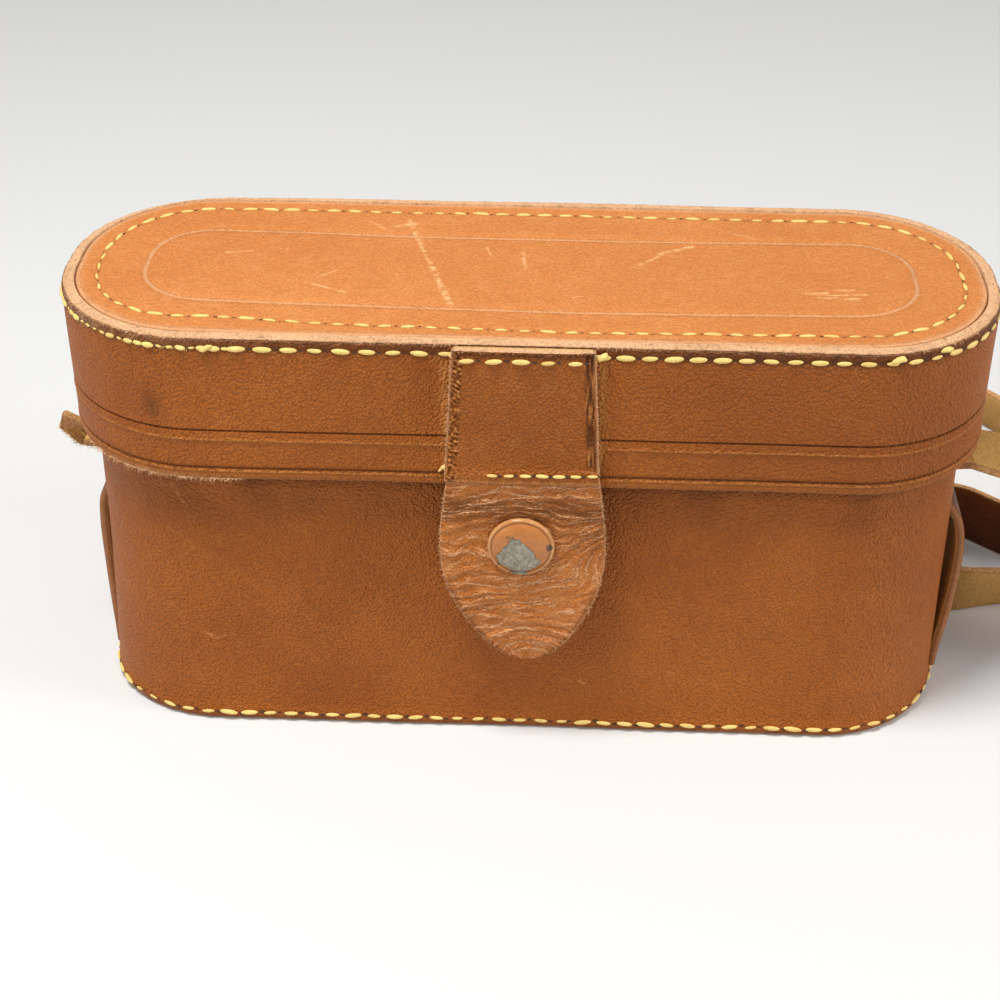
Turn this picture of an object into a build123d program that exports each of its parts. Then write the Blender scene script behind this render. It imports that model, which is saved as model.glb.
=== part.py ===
from build123d import *
import os
from math import radians, tan

# Vintage leather camera case: an oval box with a deep hinged lid, a front tab whose soft tongue
# closes on a snap fastener, and a carrying strap threaded through slits in both end walls.
# Millimetres, +Z up, front of the case towards -Y, foot of the case on Z = 0.

# Overall size of the closed case, measured over the lid
case_w = 210.0
case_d = 72.0
case_h = 107.0
lid_h = 35.5
end_flat = 6.0

# Leather, lining and fits
wall_t = 2.6
panel_t = 1.6
moulded_t = 1.8
lining_t = 0.8
pad_t = 2.0
fit_gap = 1.0
panel_gap = 0.2
flange_h = 12.0
neck_h = 8.0
lining_setback = 1.5

# Seams
thread_w = 1.1
thread_proud = 0.5
thread_seat = 0.6
rim_seam_drop = 2.5
bottom_seam_rise = 2.6
top_seam_inset = 7.5
tooled_inset = 17.8
tooled_w = 0.8
tooled_depth = 0.3
skirt_line_rises = (9.6, 12.6)

# Tab on the lid
tab_top_w = 30.5
tab_low_w = 34.0
tab_t = 2.2
tab_rise = 2.6
tab_seam_margin = 2.2
tab_top_seam_w = 24.0
tab_low_seam_w = 29.0

# Tongue
tongue_t = 1.8
tongue_gap = 0.3
tongue_top_w = 34.4
tongue_max_w = 37.0
tongue_tip_w = 6.0
tongue_len = 49.0
tongue_belly = 15.0
tongue_shoulder = 25.0

# Snap fastener
snap_drop = 16.5
cap_d = 15.0
cap_h = 2.6
cap_rim = 0.7
rivet_d = 3.6
socket_d = 11.0
socket_h = 2.1
stud_head_d = 4.8
stud_play = 0.5
stud_neck_d = 3.6
stud_head_l = 1.9
stud_tip_gap = 0.6
stud_base_d = 9.0
stud_base_t = 0.8
stud_shank_d = 3.0
washer_d = 9.0
washer_t = 0.6

# Hinge strip on the back
hinge_w = 130.0
hinge_t = 1.8
hinge_leaf_h = 15.0
hinge_gap = 0.8
hinge_seam_margin = 3.0

# Carrying strap and its threaded ends
strap_w = 16.0
strap_t = 2.0
strap_bulge = 1.9
strap_foot_z = 3.5
strap_sewn_h = 7.0
strap_bulge_low_z = 17.0
strap_bulge_high_drop = 20.3
strap_inside_drop = 6.3
slit_drop = 9.2
slit_gap = 0.3
strap_inside_gap = 0.6
strap_reach = 3.5
strap_seam_w = 9.0
strap_seam_rises = (2.0, 5.0)
pocket_gap = 1.0

# Worked out from the sizes above
lid_z = case_h - lid_h
end_r = (case_d - end_flat) / 2
body_inset = wall_t + lining_t + fit_gap
body_inner = body_inset + wall_t
body_top_z = lid_z + neck_h
back_y = case_d / 2
front_y = -case_d / 2
body_front_y = front_y + body_inset
body_back_y = back_y - body_inset
body_end_x = case_w / 2 - body_inset
tab_face_y = front_y - tab_t
tongue_back_y = front_y - tongue_gap
tongue_face_y = tongue_back_y - tongue_t
tongue_top_z = lid_z + tab_rise - tongue_gap
snap_z = lid_z + tab_rise - snap_drop
slit_z = lid_z - slit_drop
strap_inside_z = slit_z - strap_inside_drop
strap_bulge_high_z = slit_z - strap_bulge_high_drop

# The case stands with the middle of its own box over the origin
front_reach = tongue_face_y - cap_h
back_reach = back_y + hinge_t
centre_y = -(front_reach + back_reach) / 2


def plan(inset):
    """The oval plan of the case, drawn in from the outside of the lid."""
    return RectangleRounded(case_w - 2 * inset, case_d - 2 * inset, end_r - inset)


def plate(inset, low_z, high_z):
    return Pos(0, 0, low_z) * extrude(plan(inset), high_z - low_z)


def ring(outer_inset, inner_inset, low_z, high_z):
    return plate(outer_inset, low_z, high_z) - plate(inner_inset, low_z, high_z)


def block(low, high):
    """A box between two corners."""
    size = [b - a for a, b in zip(low, high)]
    middle = [(a + b) / 2 for a, b in zip(low, high)]
    return Pos(*middle) * Box(*size)


def wall_seam(inset, z):
    """A thread run round a wall, half sunk in its surface."""
    return ring(inset - thread_proud, inset + thread_seat, z - thread_w / 2, z + thread_w / 2)


def bar_seam(width, face_y, z, outward):
    """A straight row of thread across a face that looks along Y, half sunk in it."""
    sunk_y = face_y - outward * thread_seat
    proud_y = face_y + outward * thread_proud
    low = (-width / 2, min(sunk_y, proud_y), z - thread_w / 2)
    high = (width / 2, max(sunk_y, proud_y), z + thread_w / 2)
    return block(low, high)


def along_y(shape, low_y, high_y):
    """Extrude a sketch drawn in X and Z between two Y values."""
    return Pos(0, high_y, 0) * extrude(Plane.XZ * shape, high_y - low_y)


def disc_y(diameter, start_y, end_y):
    """A round piece on the snap's axis, between two Y values."""
    low_y = min(start_y, end_y)
    high_y = max(start_y, end_y)
    return along_y(Pos(0, snap_z) * Circle(diameter / 2), low_y, high_y)


# Strap ends

def strap_strip(thickness, width, low_z=0.0):
    """The strap end at the right: up the wall, in through the lower slit and out of the upper one."""
    on_wall = body_end_x + strap_t / 2
    bulged = on_wall + strap_bulge
    inside = body_end_x - wall_t - strap_inside_gap - strap_t / 2
    spare = (thickness - strap_t) / 2
    sewn_top_z = strap_foot_z + strap_sewn_h
    path = FilletPolyline(
        (on_wall, strap_foot_z - spare),
        (on_wall, sewn_top_z),
        (bulged, strap_bulge_low_z),
        (bulged, strap_bulge_high_z),
        (inside, strap_inside_z),
        (inside, slit_z),
        (body_end_x + strap_reach + spare, slit_z),
        radius=[12.0, 12.0, 9.0, 3.0, 2.2],
    )
    outline = trace(path, line_width=thickness)
    strip = along_y(outline, -width / 2, width / 2)
    reach = case_w
    keep = block((0, -width, low_z), (reach, width, case_h))
    return strip & keep


def mirrored(shape):
    return mirror(shape, about=Plane.YZ)


def make_strap_end():
    strip = strap_strip(strap_t, strap_w)
    for rise in strap_seam_rises:
        strip -= strap_seam_bar(rise)
    return strip


def strap_seam_bar(rise):
    face_x = body_end_x + strap_t
    z = strap_foot_z + rise
    low = (face_x - thread_seat, -strap_seam_w / 2, z - thread_w / 2)
    high = (face_x + thread_proud, strap_seam_w / 2, z + thread_w / 2)
    return block(low, high)


# Body of the case

def make_body_wall():
    wall = ring(body_inset, body_inner, 0, body_top_z)
    wall -= wall_seam(body_inset, bottom_seam_rise)
    slit = strap_strip(strap_t + 2 * slit_gap, strap_w + 2 * slit_gap, strap_bulge_high_z)
    wall -= slit
    wall -= mirrored(slit)
    wall -= disc_y(stud_shank_d, body_front_y, body_front_y + wall_t)
    return wall


def make_bottom_tray():
    floor = plate(body_inner, panel_t, panel_t + moulded_t)
    return floor + ring(body_inner, body_inner + moulded_t, panel_t, panel_t + flange_h)


def make_body_lining():
    lining = ring(body_inner, body_inner + lining_t, panel_t + flange_h, body_top_z - lining_setback)
    inner_x = body_end_x - wall_t - strap_inside_gap - strap_t - lining_t
    half_w = strap_w / 2 + pocket_gap
    reach = case_w / 2
    pocket_low_z = strap_bulge_high_z
    pocket_high_z = slit_z + strap_t / 2 + pocket_gap
    lining -= block((inner_x, -half_w, pocket_low_z), (reach, half_w, pocket_high_z))
    lining -= block((-reach, -half_w, pocket_low_z), (-inner_x, half_w, pocket_high_z))
    washer_hole = disc_y(washer_d + pocket_gap, body_front_y, body_front_y + wall_t + 2 * lining_t)
    return lining - washer_hole


def make_floor_pad():
    low_z = panel_t + moulded_t
    return plate(body_inner + moulded_t + panel_gap, low_z, low_z + pad_t)


def make_snap_stud():
    """Base on the wall, neck, head in the socket, and the shank riveted through the wall."""
    base_y = body_front_y - stud_base_t
    tip_y = tongue_back_y + stud_tip_gap
    head_y = tip_y + stud_head_l
    stud = disc_y(stud_base_d, base_y, body_front_y)
    stud += disc_y(stud_neck_d, head_y, base_y)
    stud += disc_y(stud_head_d, tip_y, head_y)
    return stud + disc_y(stud_shank_d, body_front_y, body_front_y + wall_t + washer_t)


def make_snap_washer():
    low_y = body_front_y + wall_t
    return disc_y(washer_d, low_y, low_y + washer_t) - disc_y(stud_shank_d, low_y, low_y + washer_t)


# Hinge strip

def hinge_leaf(face_y, low_z, seam_z):
    leaf = block((-hinge_w / 2, face_y, low_z), (hinge_w / 2, face_y + hinge_t, low_z + hinge_leaf_h))
    return leaf - hinge_seam(face_y, seam_z)


def hinge_seam(face_y, seam_z):
    return bar_seam(hinge_w - 2 * hinge_seam_margin, face_y + hinge_t, seam_z, 1)


# Lid

def make_lid_wall():
    wall = ring(0, wall_t, lid_z, case_h)
    wall -= wall_seam(0, case_h - rim_seam_drop)
    for rise in skirt_line_rises:
        low_z = lid_z + rise
        wall -= ring(-tooled_depth, tooled_depth, low_z, low_z + tooled_w)
    return wall


def make_top_panel():
    panel = plate(wall_t + panel_gap, case_h - panel_t, case_h)
    panel -= ring(tooled_inset, tooled_inset + tooled_w, case_h - tooled_depth, case_h)
    return panel - top_seam()


def top_seam():
    low_z = case_h - thread_seat
    return ring(top_seam_inset, top_seam_inset + thread_w, low_z, case_h + thread_proud)


def make_rim_thread():
    """The rim seam stops at the tab, whose own row of stitches goes on across it."""
    seam = wall_seam(0, case_h - rim_seam_drop)
    half_w = tab_top_w / 2 + thread_w
    low_z = case_h - rim_seam_drop - thread_w
    return seam - block((-half_w, front_y - tab_t, low_z), (half_w, 0, case_h))


def make_inner_cap():
    high_z = case_h - panel_t
    top = plate(wall_t, high_z - moulded_t, high_z)
    return top + ring(wall_t, wall_t + moulded_t, high_z - flange_h, high_z)


def make_lid_wall_lining():
    return ring(wall_t, wall_t + lining_t, lid_z + lining_setback, case_h - panel_t - flange_h)


def make_lid_top_lining():
    high_z = case_h - panel_t - moulded_t
    return plate(wall_t + moulded_t + panel_gap, high_z - lining_t, high_z)


# Front tab and its tongue

def make_tab():
    low_z = lid_z + tab_rise
    half_top = tab_top_w / 2
    half_low = tab_low_w / 2
    corners = ((-half_low, low_z), (half_low, low_z), (half_top, case_h), (-half_top, case_h))
    tab = along_y(make_face(Polyline(*corners, close=True)), tab_face_y, front_y)
    return tab - tab_seam(True) - tab_seam(False)


def tab_seam(upper):
    if upper:
        return bar_seam(tab_top_seam_w, tab_face_y, case_h - rim_seam_drop - thread_w, -1)
    return bar_seam(tab_low_seam_w, tab_face_y, lid_z + tab_rise + tab_seam_margin, -1)


def tongue_side(side):
    """One edge of the tongue: nearly straight, then a belly that runs in to the tip."""
    tip_z = tongue_top_z - tongue_len
    belly_z = tongue_top_z - tongue_belly
    shoulder_z = tongue_top_z - tongue_shoulder
    half_top = side * tongue_top_w / 2
    half_max = side * tongue_max_w / 2
    half_tip = side * tongue_tip_w / 2
    tip_rise = tongue_tip_w / 5
    drop = shoulder_z - tip_z
    upper = ThreePointArc((half_top, tongue_top_z), (half_max, belly_z), (0.96 * half_max, shoulder_z))
    lower = ThreePointArc(
        (0.96 * half_max, shoulder_z),
        (0.66 * half_max, shoulder_z - 0.5 * drop),
        (half_tip, tip_z + tip_rise),
    )
    return upper, lower


def make_tongue():
    tip_z = tongue_top_z - tongue_len
    right_upper, right_lower = tongue_side(1)
    left_upper, left_lower = tongue_side(-1)
    tip = ThreePointArc(right_lower @ 1, (0, tip_z), left_lower @ 1)
    top = Line((-tongue_top_w / 2, tongue_top_z), (tongue_top_w / 2, tongue_top_z))
    outline = make_face([right_upper, right_lower, tip, left_lower, left_upper, top])
    tongue = along_y(outline, tongue_face_y, tongue_back_y)
    return tongue - disc_y(rivet_d, tongue_face_y, tongue_back_y)


def make_snap_cap():
    """A shallow dome with a straight rim, and its rivet through the tongue."""
    rim_r = cap_d / 2
    dome_h = cap_h - cap_rim
    mid_r = 0.55 * rim_r
    dome_r = (rim_r**2 + dome_h**2) / (2 * dome_h)
    mid_h = cap_h - dome_r + (dome_r**2 - mid_r**2) ** 0.5
    dome = ThreePointArc((rim_r, cap_rim), (mid_r, mid_h), (0, cap_h))
    profile = make_face([Polyline((0, cap_h), (0, 0), (rim_r, 0), (rim_r, cap_rim)), dome])
    cap = revolve(Plane.XZ * profile, Axis.Z)
    cap = Pos(0, tongue_face_y, snap_z) * Rot(90, 0, 0) * cap
    return cap + disc_y(rivet_d, tongue_face_y, tongue_back_y)


def make_snap_socket():
    low_y = tongue_back_y
    socket = disc_y(socket_d, low_y, low_y + socket_h)
    return socket - disc_y(stud_head_d + 2 * stud_play, low_y, low_y + socket_h)


# Free strap

def start_right():
    return Vector(body_end_x + strap_reach, 0, slit_z)


def start_left():
    return Vector(-body_end_x - strap_reach, 0, slit_z)


# Each station of a lead is a point on the strap's middle and the way its width points there
lead_right_stations = [
    ((113.0, 0.0, 60.6), (0, 1, 0.22)),
    ((125.5, -0.5, 57.0), (0, 1, 0.1)),
    ((138.5, -1.5, 49.0), (0, 1, -0.15)),
    ((149.5, -2.5, 37.0), (0, 0.9, -0.5)),
    ((158.5, -3.2, 24.5), (0, 0.6, -0.85)),
    ((168.5, -3.5, 14.0), (0, 0.25, -1)),
    ((180.0, -3.4, 8.8), (0, 0.05, -1)),
    ((192.0, -3.0, 8.0), (0, 0, -1)),
]
loop_points = [
    (205.0, -2.5), (219.0, 0.5), (227.0, 11.0), (221.0, 22.5), (206.0, 26.5), (187.0, 24.5),
    (166.0, 22.0), (144.0, 22.5), (123.0, 20.5), (109.5, 17.8), (99.5, 22.5), (95.8, 33.5),
    (97.5, 46.5), (105.5, 56.0), (117.0, 56.8), (127.0, 47.5), (139.0, 39.0), (160.0, 37.0),
    (184.0, 38.0), (207.0, 43.0), (221.0, 57.0), (218.5, 76.0), (203.0, 88.0), (180.0, 93.0),
    (158.0, 95.0), (141.0, 101.0), (131.5, 114.0), (118.0, 122.5), (100.0, 124.0),
]
lead_left_stations = [
    ((86.0, 122.5, 8.0), (0, 0, -1)),
    ((68.0, 118.0, 8.2), (0, -0.3, -0.95)),
    ((49.0, 111.5, 6.7), (0, -0.75, -0.68)),
    ((30.0, 104.0, 2.9), (0, -1, -0.12)),
    ((10.0, 96.0, 1.5), (0, -1, 0)),
    ((-12.0, 88.0, 1.5), (0, -1, 0)),
    ((-32.0, 80.5, 4.9), (0, -0.9, 0.42)),
    ((-51.0, 73.5, 8.0), (0, -0.45, 0.9)),
    ((-68.0, 66.5, 9.0), (0, -0.1, 1)),
    ((-85.5, 55.5, 12.5), (0, 0, 1)),
    ((-95.0, 44.5, 22.5), (-0.3, 0.1, 1)),
    ((-100.5, 34.5, 36.0), (-0.3, 0.3, 0.9)),
    ((-103.3, 25.5, 49.0), (-0.2, 0.5, 0.85)),
    ((-104.8, 16.5, 59.0), (-0.2, 0.5, 0.8)),
    ((-105.3, 6.5, 63.3), (-0.1, 0.8, 0.6)),
]


def strap_section(at, along, width_way):
    """The strap's cross-section, square to the way that it runs."""
    across = width_way - along * width_way.dot(along)
    plane = Plane(origin=at, x_dir=across, z_dir=along)
    return plane * Rectangle(strap_w, strap_t)


def lead(points, width_ways, first_way, last_way):
    """A twisting stretch of strap, straight from each section to the next."""
    sections = []
    for i, at in enumerate(points):
        along = points[min(i + 1, len(points) - 1)] - points[max(i - 1, 0)]
        if i == 0:
            along = first_way
        if i == len(points) - 1:
            along = last_way
        sections.append(strap_section(at, along.normalized(), width_ways[i]))
    return loft(sections, ruled=True)


def loop_radii(points):
    """The arc at each corner of the route: 0.45 of the shorter run, over the tangent of half the turn."""
    radii = []
    for before, at, after in zip(points, points[1:], points[2:]):
        run_in = Vector(*at) - Vector(*before)
        run_out = Vector(*after) - Vector(*at)
        half_turn = radians(run_in.get_angle(run_out)) / 2
        radii.append(0.45 * min(run_in.length, run_out.length) / tan(half_turn))
    return radii


def loop_route():
    last_right = lead_right_stations[-1][0]
    first_left = lead_left_stations[0][0]
    return [(last_right[0], last_right[1]), *loop_points, (first_left[0], first_left[1])]


def make_strap_loops():
    route = loop_route()
    radii = loop_radii(route)
    path = FilletPolyline(*route, radius=radii)
    print("strap arcs from", round(min(radii), 1), "to", round(max(radii), 1), "mm")
    loops = extrude(trace(path, line_width=strap_t), strap_w)
    print("strap on the table", round(path.length), "mm, from its volume",
          round(loops.volume / (strap_w * strap_t)), "mm")
    return loops


def make_lead_right():
    """From the right strap end down to the table, where it meets the loops face to face."""
    route = loop_route()
    leave = Vector(*route[1]) - Vector(*route[0])
    points = [start_right(), *[Vector(*at) for at, _ in lead_right_stations]]
    ways = [Vector(0, 1, 0), *[Vector(*way) for _, way in lead_right_stations]]
    return lead(points, ways, Vector(1, 0, 0), leave)


def make_lead_left():
    """From the loops, flat along the table behind the case and up to the left strap end."""
    route = loop_route()
    arrive = Vector(*route[-1]) - Vector(*route[-2])
    points = [*[Vector(*at) for at, _ in lead_left_stations], start_left()]
    ways = [*[Vector(*way) for _, way in lead_left_stations], Vector(0, 1, 0)]
    return lead(points, ways, arrive, Vector(1, 0, 0))


def make_strap_end_threads():
    """The rows of stitches that hold the foot of both strap ends."""
    rows = Part()
    for rise in strap_seam_rises:
        bar = strap_seam_bar(rise)
        rows += [bar, mirrored(bar)]
    return rows


lower_leaf_z = lid_z - hinge_gap - hinge_leaf_h
lower_seam_z = lower_leaf_z + hinge_seam_margin
upper_leaf_z = lid_z + hinge_gap
upper_seam_z = upper_leaf_z + hinge_leaf_h - hinge_seam_margin
strap_end = make_strap_end()

pieces = {
    "body_wall": make_body_wall(),
    "body_bottom_panel": plate(body_inner + panel_gap, 0, panel_t),
    "body_bottom_tray": make_bottom_tray(),
    "body_wall_lining": make_body_lining(),
    "body_floor_pad": make_floor_pad(),
    "body_bottom_thread": wall_seam(body_inset, bottom_seam_rise),
    "snap_stud": make_snap_stud(),
    "snap_washer": make_snap_washer(),
    "strap_end_right": strap_end,
    "strap_end_left": mirrored(strap_end),
    "strap_end_threads": make_strap_end_threads(),
    "hinge_leaf_lower": hinge_leaf(body_back_y, lower_leaf_z, lower_seam_z),
    "hinge_thread_lower": hinge_seam(body_back_y, lower_seam_z),
    "strap_lead_right": make_lead_right(),
    "strap_loops": make_strap_loops(),
    "strap_lead_left": make_lead_left(),
    "lid_wall": make_lid_wall(),
    "lid_top_panel": make_top_panel(),
    "lid_inner_cap": make_inner_cap(),
    "lid_wall_lining": make_lid_wall_lining(),
    "lid_top_lining": make_lid_top_lining(),
    "lid_rim_thread": make_rim_thread(),
    "lid_top_thread": top_seam(),
    "tab_upper": make_tab(),
    "tab_thread_top": tab_seam(True),
    "tab_thread_bottom": tab_seam(False),
    "hinge_leaf_upper": hinge_leaf(back_y, upper_leaf_z, upper_seam_z),
    "hinge_thread_upper": hinge_seam(back_y, upper_seam_z),
    "tab_tongue": make_tongue(),
    "snap_cap": make_snap_cap(),
    "snap_socket": make_snap_socket(),
}

os.makedirs("parts", exist_ok=True)
for name, piece in pieces.items():
    export_step(Pos(0, centre_y, 0) * piece, f"parts/{name}.step")
print("lid hinge axis at Y", round(back_reach + centre_y, 3), "Z", lid_z)
print("tongue hinge axis at Y", round(tab_face_y + centre_y, 3), "Z", lid_z + tab_rise)
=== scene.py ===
# %% [markdown]
# # A vintage leather camera case
# The case is a worked-out object already: its solids have their real sizes, joints and mass.
# This lesson gives each of them its real surface: grained leather, cut edges, waxed thread, suede
# and worn paint. Everything stands in the same frame as the solids, so nothing is fitted later.

# %% Load the case
import math

import bmesh
import bpy
from mathutils import Matrix, Vector, noise


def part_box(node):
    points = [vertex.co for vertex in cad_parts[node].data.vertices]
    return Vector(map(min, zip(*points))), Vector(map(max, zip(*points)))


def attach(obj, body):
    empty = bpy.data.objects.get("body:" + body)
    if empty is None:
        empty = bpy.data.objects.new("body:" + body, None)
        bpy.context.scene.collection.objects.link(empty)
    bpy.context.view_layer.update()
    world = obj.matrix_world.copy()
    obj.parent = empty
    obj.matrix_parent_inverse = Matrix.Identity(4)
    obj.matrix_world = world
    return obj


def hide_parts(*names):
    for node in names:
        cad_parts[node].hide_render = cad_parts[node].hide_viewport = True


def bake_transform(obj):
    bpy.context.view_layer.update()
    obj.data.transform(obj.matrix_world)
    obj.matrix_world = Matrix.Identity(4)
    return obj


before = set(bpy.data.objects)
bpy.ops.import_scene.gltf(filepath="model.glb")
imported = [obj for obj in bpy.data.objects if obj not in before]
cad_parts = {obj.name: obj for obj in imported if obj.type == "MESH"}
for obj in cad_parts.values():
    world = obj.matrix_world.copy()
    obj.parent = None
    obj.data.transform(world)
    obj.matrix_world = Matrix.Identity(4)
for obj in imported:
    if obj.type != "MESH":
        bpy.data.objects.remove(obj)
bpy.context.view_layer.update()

MM = 0.001
to_front = Vector((0, -1, 0))
to_back = Vector((0, 1, 0))
to_right = Vector((1, 0, 0))
to_top = Vector((0, 0, 1))

# %% [markdown]
# ## Sizes come from the solids
# Leather is cut in millimetres, so the lesson works in millimetres and turns points into metres
# only when a mesh is made. The box of a solid gives where a piece starts and ends; the few values
# that a box can't tell, such as how round the ends are, are named here once.

# %% Sizes in millimetres
def box_mm(node):
    """Lowest and highest corner of a solid, in millimetres."""
    low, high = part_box(node)
    return low / MM, high / MM


lid_low, lid_high = box_mm("lid_wall")
body_low, body_high = box_mm("body_wall")
half_w = (lid_high.x - lid_low.x) / 2
half_d = (lid_high.y - lid_low.y) / 2
middle_y = (lid_low.y + lid_high.y) / 2
lid_z = lid_low.z
top_z = lid_high.z
body_inset = half_d - (body_high.y - body_low.y) / 2
wall_t = 2.6
end_flat = 6.0
end_r = half_d - end_flat / 2
print("lid", 2 * half_w, "by", 2 * half_d, "mm, from", lid_z, "to", top_z)

# %% [markdown]
# ## Curves for wear
# Dirt, rubbing and sag come and go softly. Four small functions draw them all: one holds a number
# between 0 and 1, one is a soft step, one is a bell round a place, and one is smooth noise that is
# the same in every run.

# %% Four curves
def held(value):
    return min(1.0, max(0.0, value))


def smooth(value, low, high):
    """0 below low, 1 above high, and a soft step between them."""
    share = held((value - low) / (high - low))
    return share * share * (3 - 2 * share)


def hump(value, centre, reach):
    return math.exp(-(((value - centre) / reach) ** 2))


def ripple(*at):
    return noise.noise(Vector(at))


print("curves ready; a hump falls to", round(hump(1, 0, 1), 2), "at its reach")

# %% [markdown]
# ## The camera
# The photograph was taken a little from above and almost square to the front. Its place was found
# by fitting the oval of the lid, the lid's lower edge and the foot of the case to the picture.
# A camera looks along its own -Z, so its three axes are built from a heading, a pitch and a roll.

# %% Camera
camera_at = Vector((10.4, -394.8, 308.7))
camera_heading = math.radians(-2.42)
camera_pitch = math.radians(33.71)
camera_roll = math.radians(-0.21)
focal_px = 1962.0
picture_px = 1000.0


def make_camera():
    data = bpy.data.cameras.new("camera")
    data.sensor_width = 36.0
    data.lens = data.sensor_width * focal_px / picture_px
    data.clip_start = 0.01
    camera = bpy.data.objects.new("camera", data)
    bpy.context.collection.objects.link(camera)
    turn = (
        Matrix.Rotation(-camera_heading, 4, "Z")
        @ Matrix.Rotation(math.pi / 2 - camera_pitch, 4, "X")
        @ Matrix.Rotation(-camera_roll, 4, "Z")
    )
    camera.matrix_world = Matrix.Translation(camera_at * MM) @ turn
    bpy.context.scene.camera = camera
    return camera


camera = make_camera()
print("camera looks along", tuple(round(v, 3) for v in camera.matrix_world.to_3x3() @ Vector((0, 0, -1))))

# %% [markdown]
# ## Building nodes by hand
# Materials and stitch patterns are both node trees. One small helper adds a node, sets its values
# and links its inputs, so that a tree reads like a sentence. The others are short names for the
# sums, products and blends that come up again and again.

# %% Node helpers
def add_node(tree, kind, inputs=None, **settings):
    """Add a node. Each input is a plain value, or a socket that it is linked from."""
    made = tree.nodes.new(kind)
    for key, value in settings.items():
        setattr(made, key, value)
    for key, value in (inputs or {}).items():
        if isinstance(value, bpy.types.NodeSocket):
            tree.links.new(value, made.inputs[key])
        else:
            made.inputs[key].default_value = value
    return made


def out_of(tree, kind, inputs=None, **settings):
    """The first output of a new node."""
    return add_node(tree, kind, inputs, **settings).outputs[0]


def blend_colours(tree, share, first, second):
    """The colour between two others. The sockets 6 and 7 of a Mix node are its two colours."""
    return add_node(tree, "ShaderNodeMix", {0: share, 6: first, 7: second}, data_type="RGBA").outputs[2]


def sums(tree, operation, first, second):
    return out_of(tree, "ShaderNodeMath", {0: first, 1: second}, operation=operation)


def vectors(tree, operation, first, second):
    return out_of(tree, "ShaderNodeVectorMath", {0: first, 1: second}, operation=operation)


def length_of(tree, value):
    return add_node(tree, "ShaderNodeVectorMath", {0: value}, operation="LENGTH").outputs["Value"]


def added(tree, first, second):
    return sums(tree, "ADD", first, second)


def less(tree, first, second):
    return sums(tree, "SUBTRACT", first, second)


def largest(tree, first, second):
    return sums(tree, "MAXIMUM", first, second)


def scaled(tree, value, factor):
    return sums(tree, "MULTIPLY", value, factor)


print("node helpers ready")

# %% [markdown]
# A material is mostly colours blended by noise. A noise is asked for by the size of its lumps in
# millimetres. A mark is a number that the mesh carries on its points, so the mesh says where it
# is cut, dark or worn, and the material says how that looks.

# %% Material helpers
def rgb(red, green, blue):
    return (red, green, blue, 1.0)


def shade_of(colour, share):
    """A colour made darker by a share."""
    return rgb(*(v * share for v in colour))


def between(tree, value, low, high, to_low=0.0, to_high=1.0):
    """Stretch a value from one range to another, with both ends held."""
    inputs = {"Value": value, "From Min": low, "From Max": high, "To Min": to_low, "To Max": to_high}
    return out_of(tree, "ShaderNodeMapRange", inputs)


def noise_at(tree, where, size_mm, detail=3.0, rough=0.55):
    """Soft noise whose lumps are about this many millimetres across."""
    inputs = {"Vector": where, "Scale": 1 / (size_mm * MM), "Detail": detail, "Roughness": rough}
    return out_of(tree, "ShaderNodeTexNoise", inputs)


def mark(tree, name):
    """A number that a mesh carries on its points. It is 0 on a mesh without it."""
    return add_node(tree, "ShaderNodeAttribute", attribute_name=name).outputs["Fac"]


def new_material(name):
    """A material, its node tree, its shader and the object coordinates that its patterns read."""
    material = bpy.data.materials.new(name)
    material.use_nodes = True
    tree = material.node_tree
    where = add_node(tree, "ShaderNodeTexCoord").outputs["Object"]
    return material, tree, tree.nodes["Principled BSDF"], where


def emboss(tree, shader, height, depth_mm, strength=1.0):
    """Give the shader a bumpy surface."""
    inputs = {"Height": height, "Distance": depth_mm * MM, "Strength": strength}
    tree.links.new(out_of(tree, "ShaderNodeBump", inputs), shader.inputs["Normal"])


print("material helpers ready")

# %% [markdown]
# ## Leather
# Vegetable-tanned leather shows three faces. The grain side is smooth, finely pebbled and darkens
# with handling; the flesh side is a pale nap like suede; a cut edge is paler and fibrous. One
# material holds all three and takes its cue from marks on the mesh: cut, flesh, dark and worn. All
# patterns read object coordinates, so the grain keeps its real size on every piece.

# %% Scratches
def pale_lines(tree, where, lines, squash):
    """Scratches: each is the distance to a line between two points, in millimetres. squash flattens
    the space in one direction, so that a line drawn a little off the surface still marks it."""
    total = 0.0
    flat_where = vectors(tree, "MULTIPLY", where, squash)
    for start, end, width in lines:
        first = Vector(start) * Vector(squash) * MM
        way = Vector(end) * Vector(squash) * MM - first
        length = way.length
        away = vectors(tree, "SUBTRACT", flat_where, first)
        along = add_node(tree, "ShaderNodeVectorMath", {0: away, 1: way / length}, operation="DOT_PRODUCT")
        reached = between(tree, along.outputs["Value"], 0.0, length, 0.0, length)
        nearest = out_of(
            tree, "ShaderNodeVectorMath", {0: way / length, "Scale": reached}, operation="SCALE"
        )
        gap = add_node(tree, "ShaderNodeVectorMath", {0: away, 1: nearest}, operation="DISTANCE")
        line = between(tree, gap.outputs["Value"], width * MM * 0.2, width * MM, 1.0, 0.0)
        total = largest(tree, line, total)
    broken = between(tree, noise_at(tree, where, 1.5, 4.0, 0.7), 0.40, 0.62)
    return scaled(tree, total, broken)


print("scratches ready")
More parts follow.
